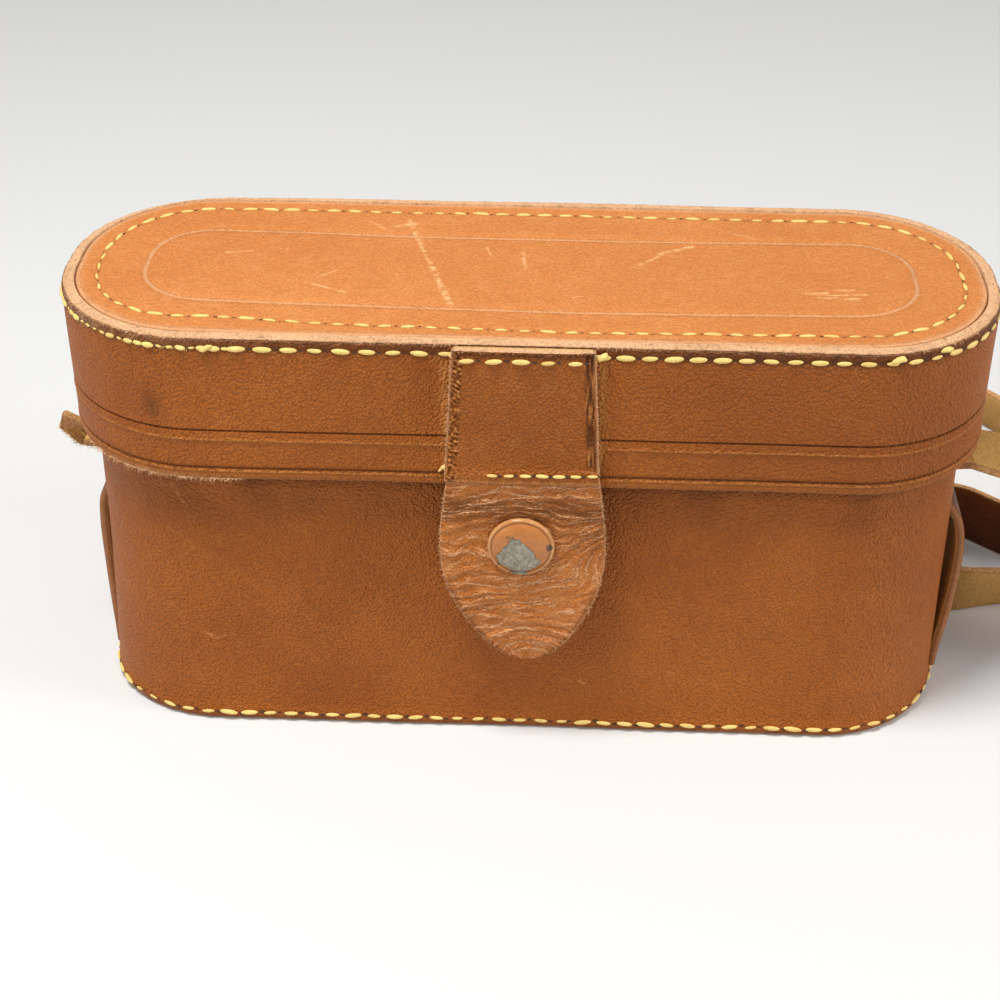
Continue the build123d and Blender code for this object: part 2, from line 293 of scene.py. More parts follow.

# %% [markdown]
# The material is built up as the look of leather is: a mottled ground, the pebbles of the grain
# with their tops painted pale as glints, then rubbing, dirt and the painted shade that some meshes
# mark as dark, and last the nap of the flesh side and the fibres of the cut. One bump carries the
# pebbles and creases of the grain and the roughness of what is bare. A painted picture could show
# all this too, but only from one side and at one scale.

# %% Leather material
def make_leather(name, colour, deep, pale, cut, flesh, grain_mm=0.68, grain_height=1.6, rough=0.46,
                 lines=(), squash=(1, 1, 1), scuffs=0.25):
    material, tree, shader, where = new_material(name)
    cut_mark, flesh_mark, dark_mark, worn_mark = (mark(tree, m) for m in ("cut", "flesh", "dark", "worn"))

    clouds = noise_at(tree, where, 34.0, 5.0, 0.6)
    mottle = noise_at(tree, where, 3.4, 4.0, 0.65)
    specks = noise_at(tree, where, 0.7, 2.0)
    fibres = noise_at(tree, where, 0.45, 4.0, 0.8)
    crumbs = noise_at(tree, where, 1.3, 5.0, 0.75)
    wander = add_node(
        tree, "ShaderNodeTexNoise", {"Vector": where, "Scale": 1 / (1.8 * MM), "Detail": 1.0}
    ).outputs[1]
    wander = out_of(
        tree, "ShaderNodeVectorMath", {0: wander, 1: (0.6 * MM,) * 3, 2: where}, operation="MULTIPLY_ADD"
    )
    cells = add_node(
        tree, "ShaderNodeTexVoronoi", {"Vector": wander, "Scale": 1 / (grain_mm * MM), "Randomness": 1.0},
        feature="F1",
    ).outputs["Distance"]

    grain = blend_colours(tree, between(tree, clouds, 0.35, 0.68), rgb(*deep), rgb(*colour))
    grain = blend_colours(tree, between(tree, mottle, 0.48, 0.80, 0.0, 0.2), grain, rgb(*pale))
    grain = blend_colours(tree, between(tree, cells, 0.30, 0.70, 0.0, 0.42), grain, shade_of(deep, 0.7))
    # Painted highlight: the tops of the pebbles are made pale, as glints.
    crests = between(tree, cells, 0.05, 0.24, 0.22, 0.0)
    grain = blend_colours(tree, crests, grain, rgb(*pale))
    patches = between(tree, noise_at(tree, where, 9.0, 6.0, 0.75), 0.60, 0.74)
    scuffed = scaled(tree, scaled(tree, patches, between(tree, specks, 0.4, 0.6)), scuffs)
    rubbed = scaled(tree, worn_mark, between(tree, specks, 0.2, 0.55))
    scuffed = largest(tree, scuffed, rubbed)
    if lines:
        scuffed = largest(tree, scuffed, pale_lines(tree, where, lines, squash))
    grain = blend_colours(tree, scuffed, grain, rgb(*pale))

    uneven = between(tree, fibres, 0.3, 0.6, 0.75, 1.0)
    dark_share = scaled(tree, dark_mark, between(tree, mottle, 0.25, 0.6, 0.55, 1.0))
    grain = blend_colours(tree, dark_share, grain, shade_of(deep, 0.30))
    nap = blend_colours(tree, between(tree, fibres, 0.35, 0.65), shade_of(flesh, 0.6), rgb(*flesh))
    nap = blend_colours(tree, between(tree, crumbs, 0.34, 0.5, 0.4, 0.0), nap, shade_of(flesh, 0.45))
    nap = blend_colours(tree, scaled(tree, dark_mark, 0.75), nap, shade_of(flesh, 0.25))
    edge = blend_colours(tree, between(tree, fibres, 0.38, 0.55), shade_of(cut, 0.62), rgb(*cut))
    stained = between(tree, noise_at(tree, where, 5.0, 3.0), 0.5, 0.75, 0.0, 0.5)
    edge = blend_colours(tree, stained, edge, shade_of(cut, 0.5))
    edge = blend_colours(tree, between(tree, crumbs, 0.34, 0.44, 0.75, 0.0), edge, shade_of(cut, 0.3))
    surface = blend_colours(tree, flesh_mark, grain, nap)
    surface = blend_colours(tree, scaled(tree, cut_mark, uneven), surface, edge)
    tree.links.new(surface, shader.inputs["Base Color"])

    gloss = between(tree, mottle, 0.3, 0.75, rough - 0.06, rough + 0.12)
    bare = largest(tree, flesh_mark, cut_mark)
    dull = largest(tree, gloss, scaled(tree, bare, 0.92))
    tree.links.new(dull, shader.inputs["Roughness"])
    shader.inputs["Specular IOR Level"].default_value = 0.2

    smooth_part = less(tree, 1.0, bare)
    pebbles = scaled(tree, scaled(tree, cells, smooth_part), -grain_height)
    creases = scaled(tree, noise_at(tree, where, 1.6, 5.0, 0.7), 0.45)
    coarse = added(tree, fibres, scaled(tree, crumbs, 2.4))
    hairs = scaled(tree, scaled(tree, coarse, bare), 0.5)
    height = added(tree, added(tree, pebbles, creases), hairs)
    emboss(tree, shader, height, 0.4)
    return material


print("leather material ready")

# %% [markdown]
# The walls are a warm russet that is darker in the hollows of its grain. Suede and raw edge are
# the same hide seen from its back and from its side, so all leathers but the strap's share them.

# %% Leather of the walls
suede = (0.93, 0.53, 0.17)
raw_edge = (0.86, 0.50, 0.27)
# Scratches on the front of the body: from x, z to x, z, and how wide
wall_scratches = [
    (-74.7, 25.9, -71.8, 24.2, 0.5), (-71.8, 24.2, -67.7, 25.4, 0.45), (-79.0, 66.5, -76.2, 61.0, 0.7),
    (-83.5, 63.5, -82.2, 58.0, 0.35), (34.0, 18.5, 36.5, 17.6, 0.4), (14.0, 14.6, 15.2, 14.0, 0.4),
]
wall_lines = [((a, -31, b), (c, -31, d), width) for a, b, c, d, width in wall_scratches]
wall_leather = make_leather(
    "wall leather", (0.455, 0.127, 0.014), (0.350, 0.088, 0.008), (0.62, 0.26, 0.06), raw_edge, suede,
    lines=wall_lines, squash=(1, 0.1, 1),
)
print("wall leather has", len(wall_leather.node_tree.nodes), "nodes")

# %% [markdown]
# ## The free strap
# The carrying strap is one flat band of leather, 16 mm wide, that leaves the right end wall,
# drops to the table, lies there on edge in loose loops behind the corner, turns over behind the
# case and climbs back to the left end wall. A band like this has two lines: its middle and one of
# its edges. Both are smooth splines through given points, and the line from one to the other says
# how the band is turned. Simulation would lay it down too, but not on this one route.

# %% Route of the strap
strap_w = 16.0
strap_t = 2.0
slit_z = 62.3
right_mouth = Vector((half_w - body_inset + 3.5, 0, slit_z))
left_mouth = Vector((-right_mouth.x, 0, slit_z))

# A point on the strap's middle, and the way its width points there
right_lead = [
    ((113.0, 0.0, 60.6), (0, 1, 0.22)),
    ((125.5, -0.5, 57.0), (0, 1, 0.1)),
    ((138.5, -1.5, 49.0), (0, 1, -0.15)),
    ((149.5, -2.5, 37.0), (0, 0.9, -0.5)),
    ((158.5, -3.2, 24.5), (0, 0.6, -0.85)),
    ((168.5, -3.5, 14.0), (0, 0.25, -1)),
    ((180.0, -3.4, 8.8), (0, 0.05, -1)),
    ((192.0, -3.0, 8.0), (0, 0, -1)),
]
# On the table the band stands on edge; the third number leans its upper edge towards the front
table_loops = [
    (205.0, -2.5, 0), (219.0, 0.5, 0), (227.0, 11.0, 0), (221.0, 22.5, 0), (206.0, 26.5, 0),
    (187.0, 24.5, 0), (166.0, 22.0, 0.25), (144.0, 22.5, 0.45), (123.0, 20.5, 0.45),
    (109.5, 17.8, 0.2), (99.5, 22.5, 0), (95.8, 33.5, 0), (97.5, 46.5, 0), (105.5, 56.0, 0),
    (117.0, 56.8, 0), (127.0, 47.5, 0), (139.0, 39.0, 0), (160.0, 37.0, 0), (184.0, 38.0, 0),
    (207.0, 43.0, 0), (221.0, 57.0, 0), (218.5, 76.0, 0), (203.0, 88.0, 0), (180.0, 93.0, 0.1),
    (158.0, 95.0, 0.35), (141.0, 101.0, 0.6), (131.5, 114.0, 0.6), (118.0, 122.5, 0.3),
    (100.0, 124.0, 0),
]
left_lead = [
    ((86.0, 122.5, 8.0), (0, 0, -1)),
    ((68.0, 118.0, 8.2), (0, -0.3, -0.95)),
    ((49.0, 111.5, 6.7), (0, -0.75, -0.68)),
    ((30.0, 104.0, 2.9), (0, -1, -0.12)),
    ((10.0, 96.0, 1.5), (0, -1, 0)),
    ((-12.0, 88.0, 1.5), (0, -1, 0)),
    ((-32.0, 80.5, 4.9), (0, -0.9, 0.42)),
    ((-51.0, 73.5, 8.0), (0, -0.45, 0.9)),
    ((-68.0, 66.5, 9.0), (0, -0.1, 1)),
    ((-85.5, 55.5, 12.5), (0, 0, 1)),
    ((-95.0, 44.5, 22.5), (-0.3, 0.1, 1)),
    ((-100.5, 34.5, 36.0), (-0.3, 0.3, 0.9)),
    ((-103.3, 25.5, 49.0), (-0.2, 0.5, 0.85)),
    ((-104.8, 16.5, 59.0), (-0.2, 0.5, 0.8)),
    ((-105.3, 6.5, 63.3), (-0.1, 0.8, 0.6)),
]
strap_route = (
    [(right_mouth, (0, 1, 0))]
    + right_lead
    + [((x, y, strap_w / 2), (0, lean, -1)) for x, y, lean in table_loops]
    + left_lead
    + [(left_mouth, (0, 1, 0))]
)
print("the strap's route has", len(strap_route), "points")


# %% Smooth lines through a route
def spline_points(controls, per_run=10):
    """Points along the NURBS spline of these control points, in the order that it runs."""
    data = bpy.data.curves.new("route", "CURVE")
    data.dimensions = "3D"
    data.resolution_u = per_run
    spline = data.splines.new("NURBS")
    spline.points.add(len(controls) - 1)
    for point, at in zip(spline.points, controls):
        point.co = (*at, 1.0)
    spline.order_u = 3
    spline.use_endpoint_u = True
    holder = bpy.data.objects.new("route", data)
    bpy.context.collection.objects.link(holder)
    bpy.context.view_layer.update()
    mesh = bpy.data.meshes.new_from_object(holder.evaluated_get(bpy.context.evaluated_depsgraph_get()))
    points = [v.co.copy() for v in mesh.vertices]
    bpy.data.meshes.remove(mesh)
    bpy.data.objects.remove(holder)
    bpy.data.curves.remove(data)
    return points


def band_line(route):
    """A band's middle points and unit width directions, from (point, width way) stations whose Y
    counts from the middle of the case."""
    middles = [Vector(at) + Vector((0, middle_y, 0)) for at, _ in route]
    edges = [m + Vector(way).normalized() * 5 for m, (_, way) in zip(middles, route)]
    line = spline_points(middles)
    beside = spline_points(edges)
    return line, [(b - m).normalized() for m, b in zip(line, beside)]


strap_middle, strap_across = band_line(strap_route)

# %% [markdown]
# ## From points to a piece
# A leather piece is a list of points in millimetres, a list of faces and the marks of its points.
# One function turns them into a mesh, points every face outwards and shades it smooth, except
# over sharp edges. Modelling by hand would do as well, but a list of points can be measured.

# %% Points into a piece
def new_piece(name, points, faces, material, marks, crease_deg=50):
    """A closed mesh from points in millimetres. Marks are lists with one number for each point."""
    mesh = bpy.data.meshes.new(name)
    mesh.from_pydata([Vector(p) * MM for p in points], [], faces)
    for mark_name, values in marks.items():
        mesh.attributes.new(mark_name, "FLOAT", "POINT").data.foreach_set("value", values)
    shell = bmesh.new()
    shell.from_mesh(mesh)
    bmesh.ops.recalc_face_normals(shell, faces=shell.faces)
    shell.to_mesh(mesh)
    shell.free()
    mesh.materials.append(material)
    mesh.shade_smooth()
    mesh.set_sharp_from_angle(angle=math.radians(crease_deg))
    piece = bpy.data.objects.new(name, mesh)
    bpy.context.collection.objects.link(piece)
    return piece


def no_marks():
    return {"cut": [], "flesh": [], "dark": [], "worn": []}


def add_marks(marks, *values):
    """One point's cut, flesh, dark and worn."""
    for mark_name, value in zip(marks, values):
        marks[mark_name].append(value)


def ring_faces(rows, ring):
    """Faces between rows of points that each close on themselves."""
    faces = []
    for row in range(rows - 1):
        for i in range(ring):
            n = (i + 1) % ring
            faces.append((row * ring + i, row * ring + n, (row + 1) * ring + n, (row + 1) * ring + i))
    return faces


print("pieces can be made")

# %% [markdown]
# A strip of leather has the same section nearly everywhere: flat faces and softly rounded cut
# edges. One loft serves the strap, the hinge, the tab and the tongue. A station gives the middle,
# the width direction, the way out of the grain side, the width and the thickness; an optional
# relief adds wrinkles and pressed lines to the grain side.

# %% Loft a strip of leather
def strip_section(width, thickness, columns, edge_cut):
    """The strip's outline, square to its run: (across, out, is cut edge, is flesh side)."""
    edge_steps = 4
    edge = min(0.3 * thickness, 0.2 * width)
    flat = width / 2 - edge
    outline = []
    for i in range(columns + 1):
        outline.append((-flat + 2 * flat * i / columns, thickness / 2, 0.0, 0.0))
    for i in range(1, edge_steps):
        turn = math.pi * i / edge_steps
        outline.append((flat + edge * math.sin(turn), thickness / 2 * math.cos(turn), edge_cut, 0.0))
    for i in range(columns + 1):
        outline.append((flat - 2 * flat * i / columns, -thickness / 2, 0.0, 1.0))
    for i in range(1, edge_steps):
        turn = math.pi * i / edge_steps
        outline.append((-flat - edge * math.sin(turn), -thickness / 2 * math.cos(turn), edge_cut, 0.0))
    return outline


def loft_strip(name, stations, material, columns=8, relief=None, edge_cut=1.0):
    """Loft a strip through stations of (middle, across, out, width, thickness)."""
    points, marks = [], no_marks()
    first, last = stations[0], stations[-1]
    spare = 0.3

    def closing(station, beyond):
        at, across, out, width, thickness = station
        return (at + beyond, across, out, width - 2 * spare, thickness * 0.6)

    back_way = (first[0] - stations[1][0]).normalized() * spare
    on_way = (last[0] - stations[-2][0]).normalized() * spare
    rows = [closing(first, back_way), *stations, closing(last, on_way)]
    for index, (at, across, out, width, thickness) in enumerate(rows):
        is_end = index in (0, len(rows) - 1)
        for a, o, cut, flesh in strip_section(width, thickness, columns, edge_cut):
            lift, dark, worn = (0.0, 0.0, 0.0)
            if relief and not is_end:
                lift, dark, worn = relief(a, at + across * a)
            if o <= 0:
                lift = 0.0
            points.append(at + across * a + out * (o + lift))
            add_marks(marks, 1.0 if is_end else cut, flesh, dark, worn)
    ring = len(points) // len(rows)
    faces = [tuple(range(ring)), tuple(range(len(points) - ring, len(points)))]
    faces += ring_faces(len(rows), ring)
    return new_piece(name, points, faces, material, marks)


def band_stations(middles, acrosses, width, thickness):
    """Stations of an even band; its grain side is the width direction crossed with the run."""
    stations = []
    for i, at in enumerate(middles):
        run = (middles[min(i + 1, len(middles) - 1)] - middles[max(i - 1, 0)]).normalized()
        across = (acrosses[i] - run * acrosses[i].dot(run)).normalized()
        stations.append((at, across, across.cross(run), width, thickness))
    return stations


print("strip loft ready")

# %% [markdown]
# The strap's leather is darker than the case's and smooth from handling, and its pale flesh side
# shows wherever the band turns over.

# %% The free strap
strap_leather = make_leather(
    "strap leather", (0.26, 0.066, 0.015), (0.16, 0.038, 0.008), (0.50, 0.22, 0.07),
    (0.80, 0.42, 0.17), (0.93, 0.52, 0.16), grain_height=0.35, rough=0.42, scuffs=0.3,
)


def strap_relief(a, at):
    """The band is painted darker in uneven patches as shade, most where it lies low by the table. Its
    grain side has worn off where it enters the left slit."""
    soil_and_shade = 0.5 + 0.8 * noise.noise(at / 45.0)
    # Painted shade: the lower the band lies, the darker it is marked.
    lying = max(0.0, 1 - at.z / 26)
    worn = held((at.z - 48) / 7) * (at.x < 0)
    return 0.0, held(soil_and_shade * lying), worn


strap_stations = band_stations(strap_middle, strap_across, strap_w, strap_t)
free_strap = loft_strip("free_strap", strap_stations, strap_leather, relief=strap_relief)
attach(free_strap, "case_body")
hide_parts("strap_lead_right", "strap_loops", "strap_lead_left")
print("free strap has", len(free_strap.data.polygons), "faces")

# %% [markdown]
# ## The sewn ends of the strap
# Each end is stitched low on the end wall, bulges away from it, goes in through a lower slit, runs
# up inside and comes out of the upper slit, where the free strap goes on. The bulge is what shows
# beside the case. The same band loft makes it, on a route in the plane of the slits.

# %% Strap ends
end_x = half_w - body_inset
strap_foot_z = 3.5


def foot_route(bulge):
    """Points (x, z) of an end that stands off the wall by its bulge."""
    outside_x = end_x + 1.1
    inside_x = end_x - 5.2
    return [
        (end_x + 1.0, strap_foot_z), (outside_x, 9.0), (outside_x + 0.55 * bulge, 17.0),
        (outside_x + 0.95 * bulge, 30.0), (outside_x + bulge, 41.0), (end_x + 0.4 + 0.5 * bulge, 49.0),
        (inside_x, 54.5), (inside_x, slit_z), (right_mouth.x, slit_z),
    ]


def make_strap_end(name, side, node, bulge):
    way = (0, side, 0)
    route = [((side * x, 0, z), way) for x, z in foot_route(bulge)]
    middles, acrosses = band_line(route)
    end = loft_strip(name, band_stations(middles, acrosses, strap_w, strap_t), strap_leather, edge_cut=0.3)
    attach(end, "case_body")
    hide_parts(node)
    return end


for name, side, bulge in (("right", 1, 2.6), ("left", -1, 0.5)):
    end = make_strap_end(f"strap_foot_{name}", side, f"strap_end_{name}", bulge)
    print(end.name, "faces", len(end.data.polygons))

# %% [markdown]
# ## Round the oval
# Walls, panel and pad all follow one oval: two straight sides joined by round ends with a short
# flat in each. Every point of a piece is a distance round this oval, an inset towards the inside
# and a height, so a seam or a groove is a row of points with the same inset and height.

# %% The oval plan
quarter = math.pi / 2 * end_r
straight = 2 * (half_w - end_r)
around = 2 * straight + 2 * end_flat + 4 * quarter
plan_runs = [
    (straight / 2, 0), (quarter, 1), (end_flat, 0), (quarter, 1), (straight, 0),
    (quarter, 1), (end_flat, 0), (quarter, 1), (straight / 2, 0),
]


def oval_at(distance):
    """A point on the outside of the lid and the way out of it, so far round from the front's middle."""
    at = Vector((0, -half_d))
    heading = 0.0
    left = distance % around
    for length, is_arc in plan_runs:
        step = min(left, length)
        if is_arc:
            centre = at + Vector((-math.sin(heading), math.cos(heading))) * end_r
            heading += step / end_r
            at = centre + Vector((math.sin(heading), -math.cos(heading))) * end_r
        else:
            at = at + Vector((math.cos(heading), math.sin(heading))) * step
        left -= step
    return at, Vector((math.sin(heading), -math.cos(heading)))


def plan_point(distance, inset, z):
    at, out = oval_at(distance)
    flat = at - out * inset
    return Vector((flat.x, flat.y + middle_y, z))


def from_front(distance):
    """The same distance counted both ways from the front's middle: negative to the left."""
    return (distance + around / 2) % around - around / 2


def stations_round(step, fixed=()):
    """Distances round the oval, about a step apart, with the fixed ones among them."""
    count = 2 * round(around / step / 2)
    plain = [around * i / count for i in range(count)]
    spread = [d for d in plain if all(abs(d - f) > step / 2 for f in fixed)]
    return sorted([*spread, *fixed])


print("the oval is", round(around, 1), "mm round")


# %% [markdown]
# ## Walls of leather
# A wall is a strip of saddle leather bent round the oval and butted at its ends. It is lofted as a
# closed ring: rows up the outside, over the edge and down the inside. The slits for the strap are
# left out of the rows and lined with faces from the outer to the inner skin. The wall of an old
# case is never quite true, so a slow noise lets it sway by a few tenths of a millimetre.

# %% Loft a wall
def sway(at, reach, seed, size=38.0):
    return reach * noise.noise(at / size + Vector((seed, seed, seed)))


def loft_wall(name, distances, outer, inner, material, push, dress, holes=()):
    """outer and inner are rows of (inset, z, cut, dark, worn) from bottom to top, at the same heights.
    push(distance, z) moves the outer skin outwards, and dress(distance, z) gives a point's rise and
    its extra cut, dark and worn. A hole is (from, to, low row, high row)."""
    rows = [*outer, *reversed(inner)]
    count, tall = len(distances), len(rows)
    points, marks = [], no_marks()
    for d in distances:
        for index, (inset, z, cut, dark, worn) in enumerate(rows):
            if index < len(outer):
                rise, more_cut, more_dark, more_worn = dress(d, z)
                points.append(plan_point(d, inset - push(d, z), z + rise))
                summed = (cut + more_cut, 0.0, dark + more_dark, worn + more_worn)
                add_marks(marks, *(min(1.0, v) for v in summed))
            else:
                points.append(plan_point(d, inset, z))
                add_marks(marks, min(1.0, cut), 1.0, min(1.0, dark), min(1.0, worn))

    def vertex(k, row):
        return (k % count) * tall + row % tall

    def halfway(k):
        return (distances[k] + distances[(k + 1) % count]) / 2

    def is_open(k, row):
        level = row if row < len(outer) else tall - 2 - row
        return any(a < halfway(k) < b and low <= level < high for a, b, low, high in holes)

    faces = []
    for k in range(count):
        for row in range(tall):
            if not is_open(k, row):
                faces.append((vertex(k, row), vertex(k + 1, row), vertex(k + 1, row + 1), vertex(k, row + 1)))
    for a, b, low, high in holes:
        spans = [k for k in range(count) if a < halfway(k) < b]
        for k in spans:
            for row in (low, high):
                twin = tall - 1 - row
                faces.append((vertex(k, row), vertex(k + 1, row), vertex(k + 1, twin), vertex(k, twin)))
        for k in (spans[0], spans[-1] + 1):
            for row in range(low, high):
                twin = tall - 1 - row
                faces.append((vertex(k, row), vertex(k, row + 1), vertex(k, twin - 1), vertex(k, twin)))
    return new_piece(name, points, faces, material, marks)


def levels(low, high, step):
    count = max(1, round((high - low) / step))
    return [low + (high - low) * i / count for i in range(1, count)]


print("wall loft ready")

# %% [markdown]
# ## The body
# The body's wall flares a little towards the foot, where years of standing have pushed it out,
# and its lower edge rolls over the bottom seam. The part just under the lid is painted darker, as
# the shade that the lid's edge casts on it.

# %% Body wall
body_top = body_high.z
slit_half_w = strap_w / 2 + 0.3
slit_spread = (slit_half_w - end_flat / 2) / (end_r - body_inset) * end_r
right_flat = straight / 2 + quarter
left_flat = right_flat + end_flat + 2 * quarter + straight
slit_spans = [(flat - slit_spread, flat + end_flat + slit_spread) for flat in (right_flat, left_flat)]
lower_slit = (46.0, 52.6)
upper_slit = (slit_z - 1.5, slit_z + 1.3)


def body_push(distance, z):
    at, out = oval_at(distance)
    low = max(0.0, 1 - z / 58)
    flare = 0.9 * low**1.6
    foot_roll = 0.35 * hump(z, 2.2, 1.8)
    corner = max(0.0, out.dot(Vector((-0.85, -0.53)))) ** 5
    squashed = 1.5 * corner * hump(z, 0, 24)
    fade = held((lid_z - 2 - z) / 12)
    return flare + foot_roll + squashed + fade * sway(Vector((at.x, at.y, z)), 0.5, 7.3)


def body_dress(distance, z):
    """Painted shade under the lid's edge, most at the front left, and dirt along the foot."""
    here = from_front(distance)
    patchy = 0.6 + ripple(here / 9, z / 9, 0)
    # Painted shade: a patchy dark band under the lid's edge.
    grime_and_shade = 0.42 * hump(z, 67, 7) * (0.7 + 0.4 * hump(here, -70, 25)) * patchy
    foot_dirt = 0.5 * hump(z, 0.6, 1.2) * (0.6 + ripple(here / 5, 3.1, 0))
    return 0.0, 0.0, max(0.0, grime_and_shade) + max(0.0, foot_dirt), 0.0


def body_rows():
    """The rolled lower edge, the wall with rows on the slits' edges, and the neck's cut edge."""
    slit_edges = [*lower_slit, *upper_slit]
    plain = [z for z in [*levels(1.0, 6.0, 1.0), 6.0, *levels(6.0, body_top - 0.8, 3.0)]
             if all(abs(z - m) > 1.0 for m in slit_edges)]
    outer, inner = [], []
    for z, tuck, cut, dark in ((0.0, 0.9, 0.8, 0.9), (0.35, 0.35, 0.4, 0.5), (1.0, 0.0, 0.0, 0.15)):
        outer.append((body_inset + tuck, z, cut, dark, 0.0))
        inner.append((body_inset + wall_t - tuck, z, cut, dark, 0.0))
    for z in sorted([*plain, *slit_edges]):
        # Painted shade: the outside is marked dark just under the lid's edge.
        outer.append((body_inset, z, 0.0, 0.7 * hump(z, lid_z - 0.5, 2.0), 0.0))
        inner.append((body_inset + wall_t, z, 0.0, 0.0, 0.0))
    for z, tuck in ((body_top - 0.8, 0.0), (body_top - 0.25, 0.3), (body_top, 0.8)):
        outer.append((body_inset + tuck, z, 1.0 if tuck else 0.2, 0.0, 0.0))
        inner.append((body_inset + wall_t - tuck, z, 1.0, 0.0, 0.0))
    return outer, inner


slit_ends = [d for span in slit_spans for d in span]
body_outer, body_inner = body_rows()
row_heights = [row[1] for row in body_outer]
slit_holes = [
    (a, b, row_heights.index(low), row_heights.index(high))
    for a, b in slit_spans for low, high in (lower_slit, upper_slit)
]
body_shell = loft_wall(
    "body_shell", stations_round(2.0, slit_ends), body_outer, body_inner, wall_leather, body_push,
    body_dress, slit_holes,
)
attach(body_shell, "case_body")
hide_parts("body_wall")
print("body wall faces", len(body_shell.data.polygons))

# %% [markdown]
# ## The lid
# The lid's wall carries pressed lines: a pair a third of the way up and one close above the lower
# edge. At the top the wall stands past the panel inside it, so its cut edge shows as a pale
# fibrous band, and the corner below it has been burnished nearly black down to the stitches.

# %% Lid wall
# A pressed line: its rise above the lid's edge, its depth, how dark its groove is painted as shadow, and how
# rubbed bright it is
press_lines = [
    (2.35, -0.12, 0.0, 0.5), (3.1, 0.24, 0.75, 0.0), (10.3, -0.12, 0.0, 0.45), (12.6, 0.28, 0.9, 0.0),
]
line_half = 0.36
lip_w = 3.2
tab_low, tab_high = box_mm("tab_upper")
tab_top_w = 30.5


def line_rows(rise, depth, dark, worn):
    """Rows across a pressed line: (z, extra inset, cut, dark, worn)."""
    z = lid_z + rise
    inner_half = line_half * 0.4
    return [
        (z - line_half, 0.0, 0.0, 0.0, 0.0), (z - inner_half, depth, 0.0, dark, worn),
        (z + inner_half, depth, 0.0, dark, worn), (z + line_half, 0.0, 0.0, 0.0, 0.0),
    ]


def lid_rows():
    """Outer and inner rows of (inset, z, cut, dark, worn), from the lower edge to the rim."""
    rows = [
        (lid_z, 0.85, 0.5, 0.6, 0.0), (lid_z + 0.25, 0.3, 0.2, 0.4, 0.0),
        (lid_z + 0.7, 0.0, 0.0, 0.1, 0.0),
    ]
    pressed = [row for line in press_lines for row in line_rows(*line)]
    plain = [(z, 0.0, 0.0, 0.0, 0.0) for z in [lid_z + 1.4, *levels(lid_z + 1.4, top_z - 3.6, 1.4)]
             if all(abs(z - lid_z - line[0]) > 0.7 for line in press_lines)]
    rows += sorted([*plain, *pressed])
    # The rim, as how far below the top, how far in, cut and dark: a burnished corner, then the cut edge
    rim = [
        (3.4, 0.0, 0.0, 0.2), (3.0, 0.1, 0.0, 0.5), (2.5, 0.2, 0.0, 0.8), (2.0, 0.08, 0.0, 0.8),
        (1.5, 0.0, 0.0, 0.85), (1.0, 0.02, 0.0, 0.9), (0.7, 0.1, 0.05, 0.9), (0.45, 0.25, 0.2, 0.75),
        (0.3, 0.42, 0.8, 0.2), (0.18, 0.65, 1.0, 0.0), (0.06, 1.0, 1.0, 0.0), (0.0, 1.5, 1.0, 0.0),
    ]
    rows += [(top_z - drop, tuck, cut, dark, 0) for drop, tuck, cut, dark in rim]
    outer = [(tuck, z, cut, dark, worn) for z, tuck, cut, dark, worn in rows]
    inner = []
    for z, tuck, cut, dark, worn in rows:
        in_lip = z > top_z - 1.0
        inset = lip_w - 0.35 * max(0.0, z - (top_z - 0.6)) if in_lip else wall_t
        inset -= 0.7 * max(0.0, lid_z + 0.7 - z)
        inner.append((inset, z, 1.0 if in_lip else cut, 0.0, 0.0))
    return outer, inner


def lid_push(distance, z):
    here = Vector((*oval_at(distance)[0], z))
    soft = sway(here, 0.35, 2.1)
    crumbly = hump(z, top_z - 0.4, 0.8) + 0.6 * hump(z, lid_z, 0.6)
    sunken = -1.2 * hump(distance, around / 2 + straight / 2 + 8, 30) * min(1.0, (z - lid_z) / 20)
    return soft + 0.2 * crumbly * noise.noise(here / 1.5) - 0.3 + sunken


def lid_dress(distance, z):
    """Dusty bands beside the tab, a dark smudged spot, painted shade over the front right, and at the left a
    frayed edge and a rim painted pale as a highlight.
    """
    here = from_front(distance)
    ragged = ripple(here / 2.6, 1.0, 0) + 0.7 * ripple(here / 0.9, 4.0, 0)
    rise = 0.3 * ragged * hump(z, top_z - 0.6, 0.35)
    beside = abs(here) - (tab_top_w / 2 + 1.4)
    streak = 0.75 + ripple(here / 0.7, z / 6, 2.0)
    dust = 0.9 * streak * hump(beside, 0, 1.1) * held((z - lid_z - 4) / 6) * (z < top_z - 3)
    frayed = hump(here, -84, 17) * hump(z, lid_z + 0.2, 0.7)
    rise += frayed * 0.5 * ripple(here / 0.8, 7.0, 0)
    worn_edge = 0.25 * hump(z, lid_z + 0.9, 0.5)
    smudge_and_shade = 0.62 * hump(here, -81, 2.0) * hump(z, 89.5, 4.0)
    # Painted shade: the front right of the lid is made a little darker.
    smudge_and_shade += 0.17 * hump(here, 66, 42) * (z > lid_z + 1)
    # Painted highlight: the rim at the left end is marked pale.
    rim_end_highlight = 0.5 * hump(here, -100, 30) * hump(z, top_z - 1.4, 1.0)
    cut = max(0.0, 0.9 * frayed * (0.6 + ragged)) + max(0.0, rim_end_highlight * (0.4 + ragged))
    return rise, min(1.0, cut), smudge_and_shade, dust + worn_edge + 0.5 * frayed


lid_shell = loft_wall("lid_shell", stations_round(1.2), *lid_rows(), wall_leather, lid_push, lid_dress)
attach(lid_shell, "lid")
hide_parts("lid_wall")
print("lid wall faces", len(lid_shell.data.polygons))

# %% [markdown]
# ## The top panel
# A flat oval of thinner leather lies inside the wall, sewn 8 mm from the edge, with a pressed oval
# line further in. Rings of points follow the outline inwards; once they are nearly a line, the
# front half is joined straight to the back half, so there is no crowded middle point.

